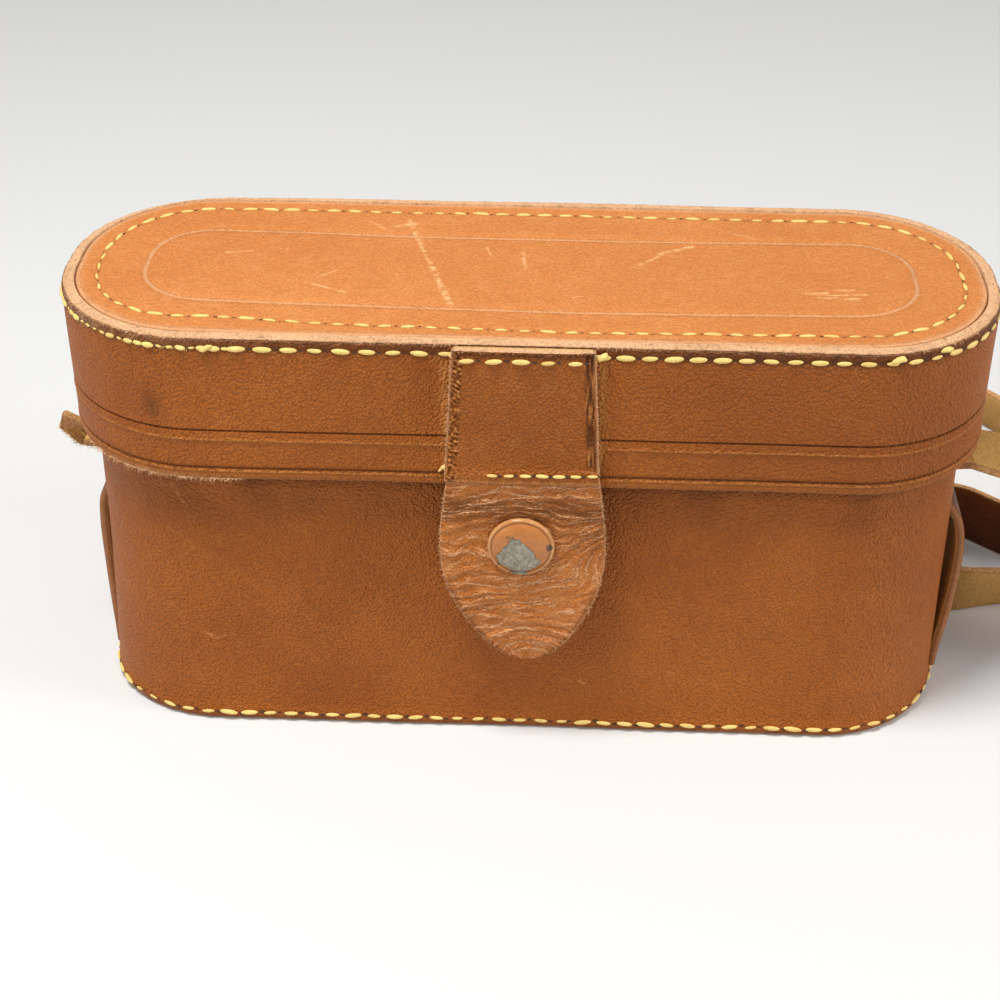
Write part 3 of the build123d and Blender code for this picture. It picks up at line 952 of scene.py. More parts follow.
# %% Loft a slab
def loft_slab(name, distances, rows, material, lift, drift=None):
    """A closed oval plate. rows are (inset, z, cut, dark) from the middle of the top, over the
    edge, to the middle of the underside. drift moves a row in or out along the oval."""
    count = len(distances)
    points, marks = [], no_marks()
    for inset, z, cut, dark in rows:
        for d in distances:
            at = plan_point(d, inset + (drift(d, inset) if drift else 0.0), z)
            points.append(at + to_top * lift(at))
            add_marks(marks, cut, 0.0, dark, 0.0)
    faces = ring_faces(len(rows), count)
    back_middle = min(range(count), key=lambda k: abs(distances[k] - around / 2))
    reach = (back_middle - 1) // 2
    for base in (0, (len(rows) - 1) * count):
        for k in range(-reach, reach):
            front = (base + k % count, base + (k + 1) % count)
            back = (base + (back_middle - k - 1) % count, base + (back_middle - k) % count)
            faces.append((*front, *back))
    return new_piece(name, points, faces, material, marks)


def slab_stations(step):
    """Distances round the oval with nothing between the two ends of each flat."""
    flats = [(right_flat, right_flat + end_flat), (left_flat, left_flat + end_flat)]
    fixed = [d for flat in flats for d in flat]
    spread = stations_round(step, fixed)
    return [d for d in spread if all(not a < d < b for a, b in flats)]


print("slab loft ready")

# %% [markdown]
# The panel's leather is paler than the walls': partly its own tone, and partly painted light, as the
# top is taken for the same hide lit more strongly than the front. Each of its long scratches has its own
# place.
# The seam and the pressed oval were laid out by eye, so both drift in and out a little on their
# way round instead of keeping an even distance from the edge.

# %% Top panel
# Scratches on the panel: from x, y to x, y, and how wide
top_scratches = [
    (-28.9, 25.0, -26.0, 15.0, 0.9), (-26.0, 15.0, -22.6, 3.7, 0.7), (-22.6, 3.7, -16.6, -16.5, 1.0),
    (-31.5, 22.0, -27.0, 23.5, 0.9), (-69.5, 6.4, -63.4, 7.5, 0.35), (-57.5, 8.6, -55.5, 8.3, 0.3),
    (-1.6, 9.5, -0.8, 1.5, 0.55), (24.0, 3.6, 30.1, 9.8, 0.6), (29.5, 10.2, 37.0, 14.4, 0.9),
    (-48.0, -8.0, -40.0, -12.0, 0.45), (-47.0, -5.0, -42.5, -1.0, 0.4), (61.0, -7.5, 66.0, -6.9, 0.7),
    (64.0, -9.4, 68.0, -9.0, 0.7), (68.0, -5.5, 72.0, -5.1, 0.6), (66.0, -8.0, 75.0, -7.2, 0.5),
    (70.0, -9.6, 73.0, -9.2, 0.8), (-10.0, 12.0, -9.0, 8.0, 0.35), (10.0, -12.0, 12.0, -11.0, 0.3),
    (-38.0, 24.0, -34.0, 20.0, 0.4), (46.0, 22.0, 52.0, 19.0, 0.3),
]
top_lines = [((a, b, 107), (c, d, 107), width) for a, b, c, d, width in top_scratches]
# Part of this paler colour is painted light for the top, which is lit more than the front.
top_leather = make_leather(
    "top leather", (0.645, 0.232, 0.060), (0.585, 0.196, 0.046), (0.84, 0.46, 0.20), raw_edge, suede,
    grain_mm=0.75, grain_height=0.7, rough=0.42, scuffs=0.2, lines=top_lines, squash=(1, 1, 0.1),
)
innermost = 32.4
top_seam_inset = 8.05
pressed_inset = 18.2


def seam_drift(distance):
    """The seam was sewn by eye: further in at the front left, nearer the edge behind the tab."""
    here = from_front(distance)
    return 2.2 * hump(here, -68, 22) - 0.9 * hump(here, 12, 34) + 0.3 * hump(here, 85, 20)


def pressed_drift(distance):
    """The pressed oval sits a little towards the front of the panel."""
    from_back = from_front(distance + around / 2)
    return -2.8 * hump(from_front(distance), 10, 75) + 2.2 * hump(from_back, -5, 75) + 0.6


def panel_drift(distance, inset):
    seam = seam_drift(distance) * hump(inset, top_seam_inset, 2.6)
    return seam + pressed_drift(distance) * min(1.0, hump(inset, pressed_inset, 3.2) * 1.2)


def pressed_rows(centre, depth, dark, half, cut=0.0):
    steps = ((1.0, 0.0, 0.0), (0.45, 0.7, 0.8), (0.0, 1.0, 1.0), (-0.45, 0.7, 0.8), (-1.0, 0.0, 0.0))
    return [(centre + off * half, top_z - depth * d, cut * s, dark * s) for off, d, s in steps]


def top_rows():
    low_z = top_z - 1.6
    edge = lip_w - 0.05
    rows = [(i, top_z, 0.0, 0.0) for i in (innermost, 30, 27, 24, 21)]
    # The pressed oval's middle is painted pale as a highlight.
    rows += pressed_rows(pressed_inset, 0.36, 0.0, 0.6, 0.65)
    rows += [(i, top_z, 0.0, 0.0) for i in (15.5, 13, 11, 9.6)]
    rows += pressed_rows(top_seam_inset, 0.24, 0.25, 0.9)
    # Painted shade: the panel's edge, where it drops into the gap by the wall's lip, is marked dark.
    rows += [
        (6.2, top_z, 0.0, 0.0), (5.4, top_z, 0.0, 0.0), (4.6, top_z, 0.15, 0.0),
        (4.1, top_z - 0.02, 0.55, 0.0), (edge + 0.4, top_z - 0.12, 0.5, 0.0),
        (edge + 0.18, top_z - 0.3, 0.2, 0.6), (edge + 0.04, top_z - 0.6, 0.0, 1.0),
        (edge, top_z - 0.95, 0.0, 1.0), (edge, low_z, 0.5, 1.0), (12.0, low_z, 0.0, 0.0),
        (innermost, low_z, 0.0, 0.0),
    ]
    return rows


def top_lift(at):
    if at.z < top_z - 1:
        return 0.0
    return sway(at, 0.25, 4.4, 30.0) - 0.12


lid_top = loft_slab("lid_top", slab_stations(2.0), top_rows(), top_leather, top_lift, panel_drift)
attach(lid_top, "lid")
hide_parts("lid_top_panel")
print("top panel faces", len(lid_top.data.polygons))

# %% [markdown]
# ## Tab and tongue
# The front tab is sewn to the lid and its lower lip covers the head of a soft tongue, which
# carries the upper half of the snap. The tongue has been bent thousands of times: creases run
# across it and part round the snap as water parts round a post, so they follow much the same
# level lines as a flow past a cylinder. The mesh has the broad folds. It also carries the level of
# that flow in millimetres, and the leather's material draws the thin pale crests along it.

# %% Tab
tongue_low, tongue_high = box_mm("tab_tongue")
cap_low, cap_high = box_mm("snap_cap")
snap_at = Vector(((cap_low.x + cap_high.x) / 2, 0, (cap_low.z + cap_high.z) / 2))
tab_face_y = tab_low.y
lid_face_y = tab_high.y
tab_low_w = tab_high.x - tab_low.x
tab_leather = make_leather(
    "tab leather", (0.44, 0.124, 0.015), (0.335, 0.087, 0.009), (0.64, 0.29, 0.09), raw_edge, suede
)


def tab_half_w(z):
    return (tab_top_w + (tab_low_w - tab_top_w) * (top_z - z) / (top_z - tab_low.z)) / 2


def tab_station(z):
    """A station of the tab; its lip steps out over the head of the tongue."""
    lip = smooth(tab_low.z + 4.0 - z, 0.0, 2.4)
    face_y = tab_face_y - 0.4 * lip
    back_y = lid_face_y - 1.4 * lip
    at = Vector((0.2 * ripple(z / 14, 2.2, 0), (face_y + back_y) / 2, z))
    return (at, to_right, to_front, 2 * tab_half_w(z), back_y - face_y)


def tab_relief(a, at):
    """Rubbed and stippled margins, a burnished top edge and a soft crown between them."""
    half = tab_half_w(at.z)
    from_left = a + half
    from_right = half - a
    crown = 0.3 * (1 - (a / half) ** 2)
    stipple = ripple(a / 0.7, at.z / 0.6, 3.0)
    threads = ripple(a / 0.42, at.z / 6.0, 6.0)
    left_margin = smooth(from_left, 0.1, 0.6) * smooth(2.9 - from_left, 0.0, 0.6)
    right_margin = smooth(from_right, 0.3, 0.9) * smooth(2.9 - from_right, 0.0, 0.6) * smooth(at.z, 76.5, 79)
    burnt = hump(at.z, top_z - 1.0, 1.1)
    bristle = 0.3 * burnt * noise.noise(at / 0.6)
    lift = crown - 0.1 * left_margin - 0.25 * right_margin + 0.5 * left_margin * stipple
    lift += 0.3 * right_margin * threads + bristle + 0.08 * noise.noise(at / 4.0) - 0.25
    dark = 0.75 * left_margin * smooth(-stipple, -0.1, 0.3) + 0.9 * burnt
    dark += right_margin * smooth(-threads, -0.25, 0.1)
    worn = left_margin * smooth(stipple, 0.05, 0.4) + 0.8 * right_margin * smooth(threads, 0.12, 0.4)
    worn += 0.55 * hump(at.z, tab_low.z + 0.3, 0.4) + 0.25 * burnt * max(0.0, bristle * 4)
    return lift, held(dark), min(1.0, worn)


tab_steps = 110
tab_heights = [top_z - (top_z - tab_low.z) * i / tab_steps for i in range(tab_steps + 1)]
tab_heights[0] = top_z - 0.3
front_tab = loft_strip(
    "front_tab", [tab_station(z) for z in tab_heights], tab_leather, columns=110, relief=tab_relief,
    edge_cut=0.5,
)
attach(front_tab, "lid")
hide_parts("tab_upper")
print("tab faces", len(front_tab.data.polygons))


# %% [markdown]
# The tongue is the softest piece of the case. Its outline is a list of half widths from the tip
# up. It hangs a little askew, is tucked in under the tab's lip and curls towards the body at its
# tip, so its stations shift as well as narrow.

# %% Outline of the tongue
tongue_face_y = tongue_low.y
tongue_back_y = tongue_high.y
tongue_tip_z = tongue_low.z
tongue_head_z = tab_low.z + 3.4

# Half width of the tongue at heights measured from its tip
tongue_profile = [
    (0.0, 1.9), (0.15, 2.8), (0.5, 4.0), (1.2, 5.2), (2.4, 6.6), (5.0, 9.0), (8.0, 11.1), (11.0, 13.0),
    (14.2, 14.7), (17.5, 16.2), (21.0, 17.3), (26.0, 18.3), (31.0, 18.6), (37.0, 18.4), (43.0, 17.7),
    (49.5, 16.8), (60.0, 16.3),
]


def along_profile(profile, value):
    """Read (value, result) pairs as a line through them."""
    for (a, low), (b, high) in zip(profile, profile[1:]):
        if value <= b:
            share = max(0.0, (value - a) / (b - a))
            return low + (high - low) * share
    return profile[-1][1]


def tongue_lean(z):
    """The tongue hangs a little to the right, most at its tip."""
    return 1.3 * max(0.0, 1 - (z - tongue_tip_z) / 36) ** 2 + 0.25


def tongue_station(z):
    """A station of the tongue: tucked in under the tab's lip, curled towards the body at its tip."""
    half = along_profile(tongue_profile, z - tongue_tip_z)
    half += 0.16 * ripple(z / 2.5, 3.0, 0) + 0.08 * ripple(z / 0.6, 9.0, 0)
    tucked = smooth(z, tab_low.z - 0.8, tab_low.z + 1.2)
    face_y = tongue_face_y + 0.75 * tucked
    back_y = tongue_back_y - 0.05 * tucked
    curl = 1.0 * max(0.0, 1 - (z - tongue_tip_z) / 15) ** 2
    at = Vector((tongue_lean(z), (face_y + back_y) / 2 + curl, z))
    return (at, to_right, to_front, 2 * half, back_y - face_y)


print("tongue from", round(tongue_tip_z, 1), "to", round(tongue_head_z, 1), "mm above the table")

# %% [markdown]
# The crests of the creases are rubbed pale and painted lighter still as highlights. They are
# thinner than any mesh should be, so the material draws them, in three families that cross each
# other at a slight slant and break off.

# %% Leather with crests
tongue_leather = make_leather(
    "tongue leather", (0.66, 0.210, 0.042), (0.50, 0.148, 0.024), (0.96, 0.52, 0.22), raw_edge, suede,
    grain_mm=0.55, grain_height=1.2, rough=0.5, scuffs=0.35,
)

# Three families of crests: their spacing in mm, their slant, how long a piece is and its strength
crest_families = [(2.6, 0.0, 3.2, 1.0), (1.9, 0.24, 2.2, 0.9), (2.2, -0.3, 1.7, 0.6)]


def crease_leather(material):
    """Adds thin pale broken crests, rubbed leather and painted highlight, along the level lines that the mesh
    carries in millimetres.
    """
    tree = material.node_tree
    shader = tree.nodes["Principled BSDF"]
    where = add_node(tree, "ShaderNodeTexCoord").outputs["Object"]
    long_way = vectors(tree, "MULTIPLY", where, (0.35, 1.0, 1.0))
    level = mark(tree, "crease")
    level = added(tree, level, between(tree, noise_at(tree, where, 1.6, 2.0), 0.2, 0.8, -0.3, 0.3))
    across = add_node(tree, "ShaderNodeSeparateXYZ", {"Vector": where}).outputs["X"]
    crests = 0.0
    for spacing, slant, patch_mm, share in crest_families:
        slanted = added(tree, level, scaled(tree, across, slant / MM))
        turns = added(tree, sums(tree, "DIVIDE", slanted, spacing), 0.1)
        off_line = sums(tree, "ABSOLUTE", less(tree, sums(tree, "FRACT", turns, 0.0), 0.5), 0.0)
        line = between(tree, scaled(tree, off_line, spacing), 0.05, 0.32, share, 0.0)
        patchy = between(tree, noise_at(tree, long_way, patch_mm, 2.0), 0.46, 0.58)
        crests = largest(tree, crests, scaled(tree, line, patchy))
    grain_side = less(tree, 1.0, scaled(tree, mark(tree, "flesh"), 0.9))
    shown = scaled(tree, crests, grain_side)
    plain = shader.inputs["Base Color"].links[0].from_socket
    # The crests are painted pale: rubbed leather and painted highlight.
    rubbed = blend_colours(tree, scaled(tree, shown, 0.66), plain, rgb(0.96, 0.52, 0.27))
    tree.links.new(rubbed, shader.inputs["Base Color"])
    ridge = add_node(tree, "ShaderNodeBump", {"Height": shown, "Distance": 0.2 * MM, "Strength": 1.0})
    grain_bump = shader.inputs["Normal"].links[0].from_node
    tree.links.new(ridge.outputs[0], grain_bump.inputs["Normal"])


crease_leather(tongue_leather)
print("tongue leather has", len(tongue_leather.node_tree.nodes), "nodes")

# %% [markdown]
# The folds under them are real shape, because their shadows and the tongue's uneven face show
# from the side too. The same level lines place both, so folds and crests run the same way.

# %% Folds of the tongue
# Two families of folds in the mesh: their spacing in mm, their weight and where they start
fold_families = [(3.1, 1.0, 0.0), (1.9, 0.75, 0.35)]


def crease_level(a, up):
    """The creases are the level lines of this field: nearly level above the snap, parting round it,
    climbing steeply on its right, rising gently below it and curling near the tip."""
    away = max(math.hypot(a, up), 0.1)
    parted = up * (1 - 0.5 * min(1.0, (6.2 / away) ** 2))
    bend = 0.008 + 0.036 * hump(up, -1.5, 6.5)
    climb = (0.05 + 0.16 * smooth(-up, 0.0, 9.0)) * a + bend * max(0.0, a) ** 2
    level = parted - climb + 0.007 * smooth(up, 4.0, 12.0) * a * a
    arcs = math.hypot((a - 1.8) * 0.75, up + 33.0)
    at_tip = smooth(-up, 14.0, 22.0)
    level = level * (1 - at_tip) + (arcs - 33.0) * at_tip
    slow = ripple(a / 11, up / 8, 1.7)
    quick = ripple(a / 3.4, up / 2.4, 5.1)
    fine = ripple(a / 1.1, up / 0.9, 2.6)
    return level + 1.9 * slow + 0.6 * quick + 0.14 * fine


def tongue_relief(a, at):
    """Soft folds with thin broken crests that are rubbed pale and partly painted as highlights, with painted
    shade under each fold, under the tab's lip and along the lower edges.
    """
    up = at.z - snap_at.z
    level = crease_level(a, up)
    folds, crests, fold_shade = 0.0, 0.0, 0.0
    for spacing, weight, offset in fold_families:
        phase = (level / spacing + offset) % 1.0
        band = math.floor(level / spacing + offset)
        patch = ripple(a / 5.5, band * 3.7, weight * 9)
        strong = weight * held(0.55 + 1.7 * patch)
        folds += strong * (4 * phase * (1 - phase))
        crests = max(crests, strong * hump((phase - 0.5) * spacing, 0.0, 0.19))
        # Painted shade on the lower side of each fold.
        fold_shade = max(fold_shade, strong * hump((phase - 0.5) * spacing, -0.45, 0.3))
    # Painted shade: a dark band at the top of the tongue, under the tab's lip.
    lip_shade = hump(at.z, tongue_high.z - 6.8, 4.2)
    near_cap = 1 - smooth(math.hypot(a, up), 7.4, 9.4)
    ease = 1 - 0.8 * near_cap
    rising = 1 - smooth(at.z, tongue_high.z - 2.5, tongue_high.z - 0.5)
    wrinkle = ripple(a / 0.9, up / 0.7, 4.0)
    lift = ease * rising * (0.42 * (folds - 0.7) + 0.05 * crests + 0.09 * wrinkle) - 0.2 * near_cap
    blotch = 0.5 + ripple(a / 5, up / 5, 8.0)
    dark = 0.8 * lip_shade + 0.1 * fold_shade * ease + 0.25 * near_cap + 0.1 * blotch
    crests *= 0.35 + 0.65 * smooth(wrinkle, -0.25, 0.2)
    # Crests are marked worn: rubbed pale and partly painted highlight.
    worn = 0.15 * crests * (1 - 0.3 * lip_shade) * (1 - 0.6 * near_cap)
    worn += 0.3 * smooth(-up, 2, 9) * max(0.0, blotch - 0.4)
    edge = abs(a) - along_profile(tongue_profile, at.z - tongue_tip_z)
    # Painted shade along the lower edges of the tongue.
    dark += 0.6 * hump(edge, -0.9, 0.6) * smooth(-up, 8, 16)
    return lift, held(dark), min(1.0, worn)


print("folds", " and ".join(str(family[0]) for family in fold_families), "mm apart")

# %% [markdown]
# The strip loft makes the tongue from its stations and its relief, in rows close enough for the
# finest fold. The tongue crosses the line where it bends, and it is left as one mesh that belongs
# to neither the lid nor the body.

# %% Tongue
def tongue_heights():
    """Even steps down the tongue, then closer and closer ones to its tip."""
    step = 0.28
    tip_rows = 14
    heights = [tongue_head_z - step * i for i in range(int((tongue_head_z - tongue_tip_z - 2.2) / step))]
    rest = heights[-1] - tongue_tip_z
    return heights + [tongue_tip_z + rest * (1 - i / tip_rows) ** 1.4 for i in range(1, tip_rows + 1)]


front_tongue = loft_strip(
    "front_tongue", [tongue_station(z) for z in tongue_heights()], tongue_leather, columns=124,
    relief=tongue_relief, edge_cut=0.45,
)
crease_mark = front_tongue.data.attributes.new("crease", "FLOAT", "POINT")
tongue_points = [v.co / MM for v in front_tongue.data.vertices]
crease_mark.data.foreach_set(
    "value", [crease_level(p.x - tongue_lean(p.z), p.z - snap_at.z) for p in tongue_points]
)
fold_z = tab_low.z
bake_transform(front_tongue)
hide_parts("tab_tongue")
print("tongue faces", len(front_tongue.data.polygons))

# %% [markdown]
# ## The snap
# The button of the snap is a pressed steel cap, painted tan, with a rolled rim. Thumbs have rubbed
# the paint off below its middle, down to dull grey metal with a dark line round it. The cap is a
# turned profile; the wear is only in its material, because paint is thinner than a hair.

# %% Bare metal and cap paint
def make_metal(name, colour, dull, rough):
    material, tree, shader, where = new_material(name)
    patches = noise_at(tree, where, 1.8, 5.0, 0.7)
    fine = noise_at(tree, where, 0.3, 3.0, 0.7)
    shade = blend_colours(tree, between(tree, patches, 0.35, 0.65), rgb(*dull), rgb(*colour))
    tree.links.new(shade, shader.inputs["Base Color"])
    tree.links.new(between(tree, patches, 0.3, 0.7, rough + 0.15, rough), shader.inputs["Roughness"])
    shader.inputs["Metallic"].default_value = 0.9
    emboss(tree, shader, fine, 0.03, 0.6)
    return material


def face_distance(tree, where, across, up, flat=(1.0, 0.0, 1.0)):
    """How far a place on the cap's face is from a point so far across and up from its middle."""
    centre = (snap_at + Vector((across, 0, up))) * MM
    return length_of(tree, vectors(tree, "MULTIPLY", vectors(tree, "SUBTRACT", where, centre), flat))


def make_cap_paint():
    material, tree, shader, where = new_material("cap paint")
    reach = face_distance(tree, where, -0.9, -1.9)
    ragged = scaled(tree, less(tree, noise_at(tree, where, 4.0, 2.0, 0.5), 0.5), 6.0 * MM)
    nibbled = scaled(tree, less(tree, noise_at(tree, where, 1.1, 3.0, 0.6), 0.5), 2.2 * MM)
    edge_at = added(tree, added(tree, reach, ragged), nibbled)
    bare = between(tree, edge_at, 4.35 * MM, 4.55 * MM, 1.0, 0.0)
    rust_line = between(tree, edge_at, 4.5 * MM, 4.85 * MM, 1.0, 0.0)
    to_chip = face_distance(tree, where, 6.3, 0.4, (1.0, 0.0, 0.8))
    chips = between(tree, added(tree, to_chip, nibbled), 0.5 * MM, 0.65 * MM, 1.0, 0.0)
    grime_and_shade = noise_at(tree, where, 2.5, 4.0, 0.7)
    tan, dirty_tan = rgb(0.50, 0.185, 0.042), rgb(0.40, 0.135, 0.034)
    paint = blend_colours(tree, between(tree, grime_and_shade, 0.4, 0.75), tan, dirty_tan)
    radius = face_distance(tree, where, 0, 0)
    # Painted highlight: the rolled rim is made paler all round, partly as rubbed paint.
    rolled = scaled(tree, between(tree, radius, 6.8 * MM, 6.95 * MM), between(tree, grime_and_shade, 0.35, 0.6))
    paint = blend_colours(tree, scaled(tree, rolled, 0.45), paint, rgb(0.84, 0.52, 0.22))
    paint = blend_colours(tree, largest(tree, rust_line, chips), paint, rgb(0.11, 0.048, 0.02))
    dull_metal, bright_metal = rgb(0.17, 0.15, 0.11), rgb(0.46, 0.43, 0.34)
    worn_bright = between(tree, noise_at(tree, where, 0.9, 6.0, 0.8), 0.38, 0.62)
    metal = blend_colours(tree, worn_bright, dull_metal, bright_metal)
    tree.links.new(blend_colours(tree, bare, paint, metal), shader.inputs["Base Color"])
    tree.links.new(scaled(tree, bare, 0.75), shader.inputs["Metallic"])
    tree.links.new(between(tree, bare, 0.0, 1.0, 0.28, 0.5), shader.inputs["Roughness"])
    pitted = scaled(tree, bare, noise_at(tree, where, 0.5, 4.0, 0.8))
    level = less(tree, scaled(tree, grime_and_shade, 0.2), pitted)
    emboss(tree, shader, level, 0.08, 0.8)
    return material


print("cap paint ready")

# %% [markdown]
# The cap is a steel disc pressed into a dome. It is the same all the way round, so half of its
# section is drawn and turned round an axis that points to the front. Stud, washer and socket keep
# the shape of their solids and get the bare metal.

# %% The button and its metal
def turn_profile(name, profile, centre, material):
    """A closed turned piece from (radius, height) pairs, its axis towards the front."""
    steps = 72
    points = []
    for r, h in profile:
        for i in range(steps):
            turn = 2 * math.pi * i / steps
            points.append(centre + Vector((r * math.cos(turn), -h, r * math.sin(turn))))
    faces = ring_faces(len(profile), steps)
    faces.append(tuple(range(steps)))
    faces.append(tuple(range(len(points) - steps, len(points))))
    return new_piece(name, points, faces, material, {}, 60)


cap_h = tongue_face_y - cap_low.y
cap_r = (cap_high.x - cap_low.x) / 2
cap_profile = [
    (0.4, cap_h), (1.8, cap_h - 0.03), (3.2, cap_h - 0.16), (4.5, cap_h - 0.42), (5.5, cap_h - 0.78),
    (6.1, cap_h - 1.2), (6.4, cap_h - 1.5), (6.6, cap_h - 1.62), (6.8, cap_h - 1.5), (7.05, cap_h - 1.38),
    (7.3, cap_h - 1.5), (cap_r, cap_h - 1.85), (cap_r - 0.05, 0.25), (7.2, 0.02), (6.9, -0.15), (1.8, -0.15),
    (1.8, -1.8), (0.4, -1.8),
]
snap_button = turn_profile(
    "snap_button", cap_profile, Vector((snap_at.x, tongue_face_y, snap_at.z)), make_cap_paint()
)
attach(snap_button, "tongue")
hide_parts("snap_cap")
snap_metal = make_metal("snap metal", (0.52, 0.47, 0.36), (0.22, 0.18, 0.12), 0.34)


def give_material(node_name, material):
    """A solid that keeps its own shape gets a material."""
    cad_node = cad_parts[node_name]
    cad_node.data.materials.clear()
    cad_node.data.materials.append(material)


for node_name in ("snap_stud", "snap_washer", "snap_socket"):
    give_material(node_name, snap_metal)
print("snap button radius", round(cap_r, 2), "height", round(cap_h, 2))

# %% [markdown]
# ## The hinge
# There is no metal in this hinge: one wide strip of leather is sewn to the body's back, steps out
# under the lid's edge and is sewn to the lid. It crosses the joint, so it is a single mesh that
# belongs to neither body, and all of its bend lies within two millimetres of the axis.

# %% Hinge strip
leaf_low, leaf_high = box_mm("hinge_leaf_lower")
upper_low, upper_high = box_mm("hinge_leaf_upper")
hinge_w = leaf_high.x - leaf_low.x
hinge_t = leaf_high.y - leaf_low.y
hinge_leather = make_leather(
    "hinge leather", (0.36, 0.12, 0.034), (0.24, 0.072, 0.02), (0.52, 0.22, 0.09), raw_edge, suede
)


def hinge_middles():
    low_y = leaf_low.y + hinge_t / 2
    high_y = upper_low.y + hinge_t / 2
    route = [
        (low_y, leaf_low.z), (low_y, 60.0), (low_y, 65.0), (low_y, 67.6), (low_y + 0.5, 69.2),
        (low_y + 2.2, 69.9), (high_y - 0.3, 70.2), (high_y + 0.1, 71.5), (high_y, 73.0), (high_y, 75.5),
        (high_y, 80.0), (high_y, upper_high.z),
    ]
    return spline_points([Vector((0, y, z)) for y, z in route], 8)


def hinge_relief(a, at):
    bend = hump(at.z, lid_z - 1, 3.0)
    crease = bend * (0.12 * ripple(a / 6, at.z / 0.7, 2) - 0.05)
    return crease + 0.1 * noise.noise(at / 12), 0.45 * bend, 0.35 * bend


hinge_line = hinge_middles()
hinge_stations = band_stations(hinge_line, [-to_right] * len(hinge_line), hinge_w, hinge_t)
hinge_strip = loft_strip("hinge_strip", hinge_stations, hinge_leather, columns=60, relief=hinge_relief)
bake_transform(hinge_strip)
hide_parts("hinge_leaf_lower", "hinge_leaf_upper")

# %% [markdown]
# ## Inside the case
# The lid and the body are lined with thin brown suede, a moulded leather tray closes the foot and
# a felt pad lies in it. The pad is a soft piece, so it is lofted with a rounded, slightly crowned
# edge; the glued linings keep the shape of their solids and get a napped material.

# %% Felt, suede and the pad
def make_nap(name, colour, deep, fibre_mm=0.5):
    material, tree, shader, where = new_material(name)
    strokes = noise_at(tree, where, 12.0, 5.0, 0.7)
    fibres = noise_at(tree, where, fibre_mm, 4.0, 0.8)
    shade = blend_colours(tree, between(tree, strokes, 0.35, 0.65), rgb(*deep), rgb(*colour))
    shade = blend_colours(tree, between(tree, fibres, 0.4, 0.7, 0.0, 0.5), shade, shade_of(deep, 0.55))
    tree.links.new(shade, shader.inputs["Base Color"])
    shader.inputs["Roughness"].default_value = 0.95
    shader.inputs["Specular IOR Level"].default_value = 0.15
    shader.inputs["Sheen Weight"].default_value = 0.25
    emboss(tree, shader, fibres, 0.4, 0.7)
    return material


suede_lining = make_nap("suede lining", (0.20, 0.10, 0.05), (0.13, 0.062, 0.03))
inner_leather = make_leather(
    "inner leather", (0.27, 0.12, 0.05), (0.20, 0.082, 0.033), (0.36, 0.18, 0.08), raw_edge, suede,
    grain_height=0.25, rough=0.6,
)
felt = make_nap("felt", (0.11, 0.05, 0.04), (0.075, 0.033, 0.026), 0.35)
lining_nodes = {
    "body_wall_lining": (suede_lining, "suede_lining"),
    "lid_wall_lining": (suede_lining, "suede_lining"),
    "lid_top_lining": (suede_lining, "suede_lining"),
    "body_bottom_tray": (inner_leather, "inner_leather"),
    "lid_inner_cap": (inner_leather, "inner_leather"),
    "body_bottom_panel": (wall_leather, "wall_leather"),
}
for node_name, (material, slot_name) in lining_nodes.items():
    give_material(node_name, material)

pad_low, pad_high = box_mm("body_floor_pad")
pad_inset = half_w - pad_high.x
pad_rows = [
    (innermost, pad_high.z, 0, 0), (26.0, pad_high.z, 0, 0), (20.0, pad_high.z, 0, 0),
    (15.0, pad_high.z, 0, 0), (pad_inset + 1.6, pad_high.z - 0.08, 0, 0),
    (pad_inset + 0.7, pad_high.z - 0.35, 0, 0),
    (pad_inset + 0.2, pad_high.z - 0.75, 0, 0), (pad_inset, pad_low.z + 0.7, 0, 0),
    (pad_inset + 0.25, pad_low.z + 0.2, 0, 0), (pad_inset + 0.9, pad_low.z, 0, 0),
    (innermost, pad_low.z, 0, 0),
]


def pad_lift(at):
    return -0.12 + sway(at, 0.3, 6.0, 22.0) if at.z > pad_high.z - 0.2 else 0.0


felt_pad = loft_slab("felt_pad", slab_stations(2.6), pad_rows, felt, pad_lift)
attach(felt_pad, "case_body")
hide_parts("body_floor_pad")
print("inside dressed:", ", ".join(lining_nodes))

# %% [markdown]
# ## Stitches
# A saddle seam is the same stitch again and again along a line, which is what Geometry Nodes are
# for. The line is a chain of points that carry the way out of the leather; the tree spaces them a
# pitch apart, turns a plump stitch to the line and to that way out, adds a flat dark spot, painted
# shade for the awl hole that it dives into, and varies each stitch a little with a fixed seed.

# %% Thread
def make_thread():
    material, tree, shader, where = new_material("waxed thread")
    soil_and_shade = noise_at(tree, where, 7.0, 3.0, 0.6)
    fibres = noise_at(tree, where, 0.28, 3.0, 0.8)
    clean, old = rgb(0.98, 0.74, 0.24), rgb(0.84, 0.54, 0.15)
    shade = blend_colours(tree, between(tree, soil_and_shade, 0.4, 0.72), clean, old)
    shade = blend_colours(tree, between(tree, fibres, 0.45, 0.72, 0.0, 0.55), shade, rgb(0.42, 0.22, 0.05))
    tree.links.new(shade, shader.inputs["Base Color"])
    shader.inputs["Roughness"].default_value = 0.6
    emboss(tree, shader, fibres, 0.2, 0.8)
    return material


# Painted shade: an awl hole shows as a dark flat spot, not as a real hole.
def make_awl_hole_shade():
    material, tree, shader, where = new_material("awl hole")
    deep, shallow = rgb(0.035, 0.016, 0.008), rgb(0.10, 0.045, 0.018)
    shade = blend_colours(tree, noise_at(tree, where, 0.4, 3.0), deep, shallow)
    tree.links.new(shade, shader.inputs["Base Color"])
    shader.inputs["Roughness"].default_value = 0.9
    return material


thread = make_thread()
awl_hole_shade = make_awl_hole_shade()
print("thread ready")

# %% [markdown]
# Two trees are built below, one for stitches and one for loose fibres. Both set real copies of a
# small piece on points along a line, turned to the way out of the leather there, so they share
# their first nodes and a few short names.

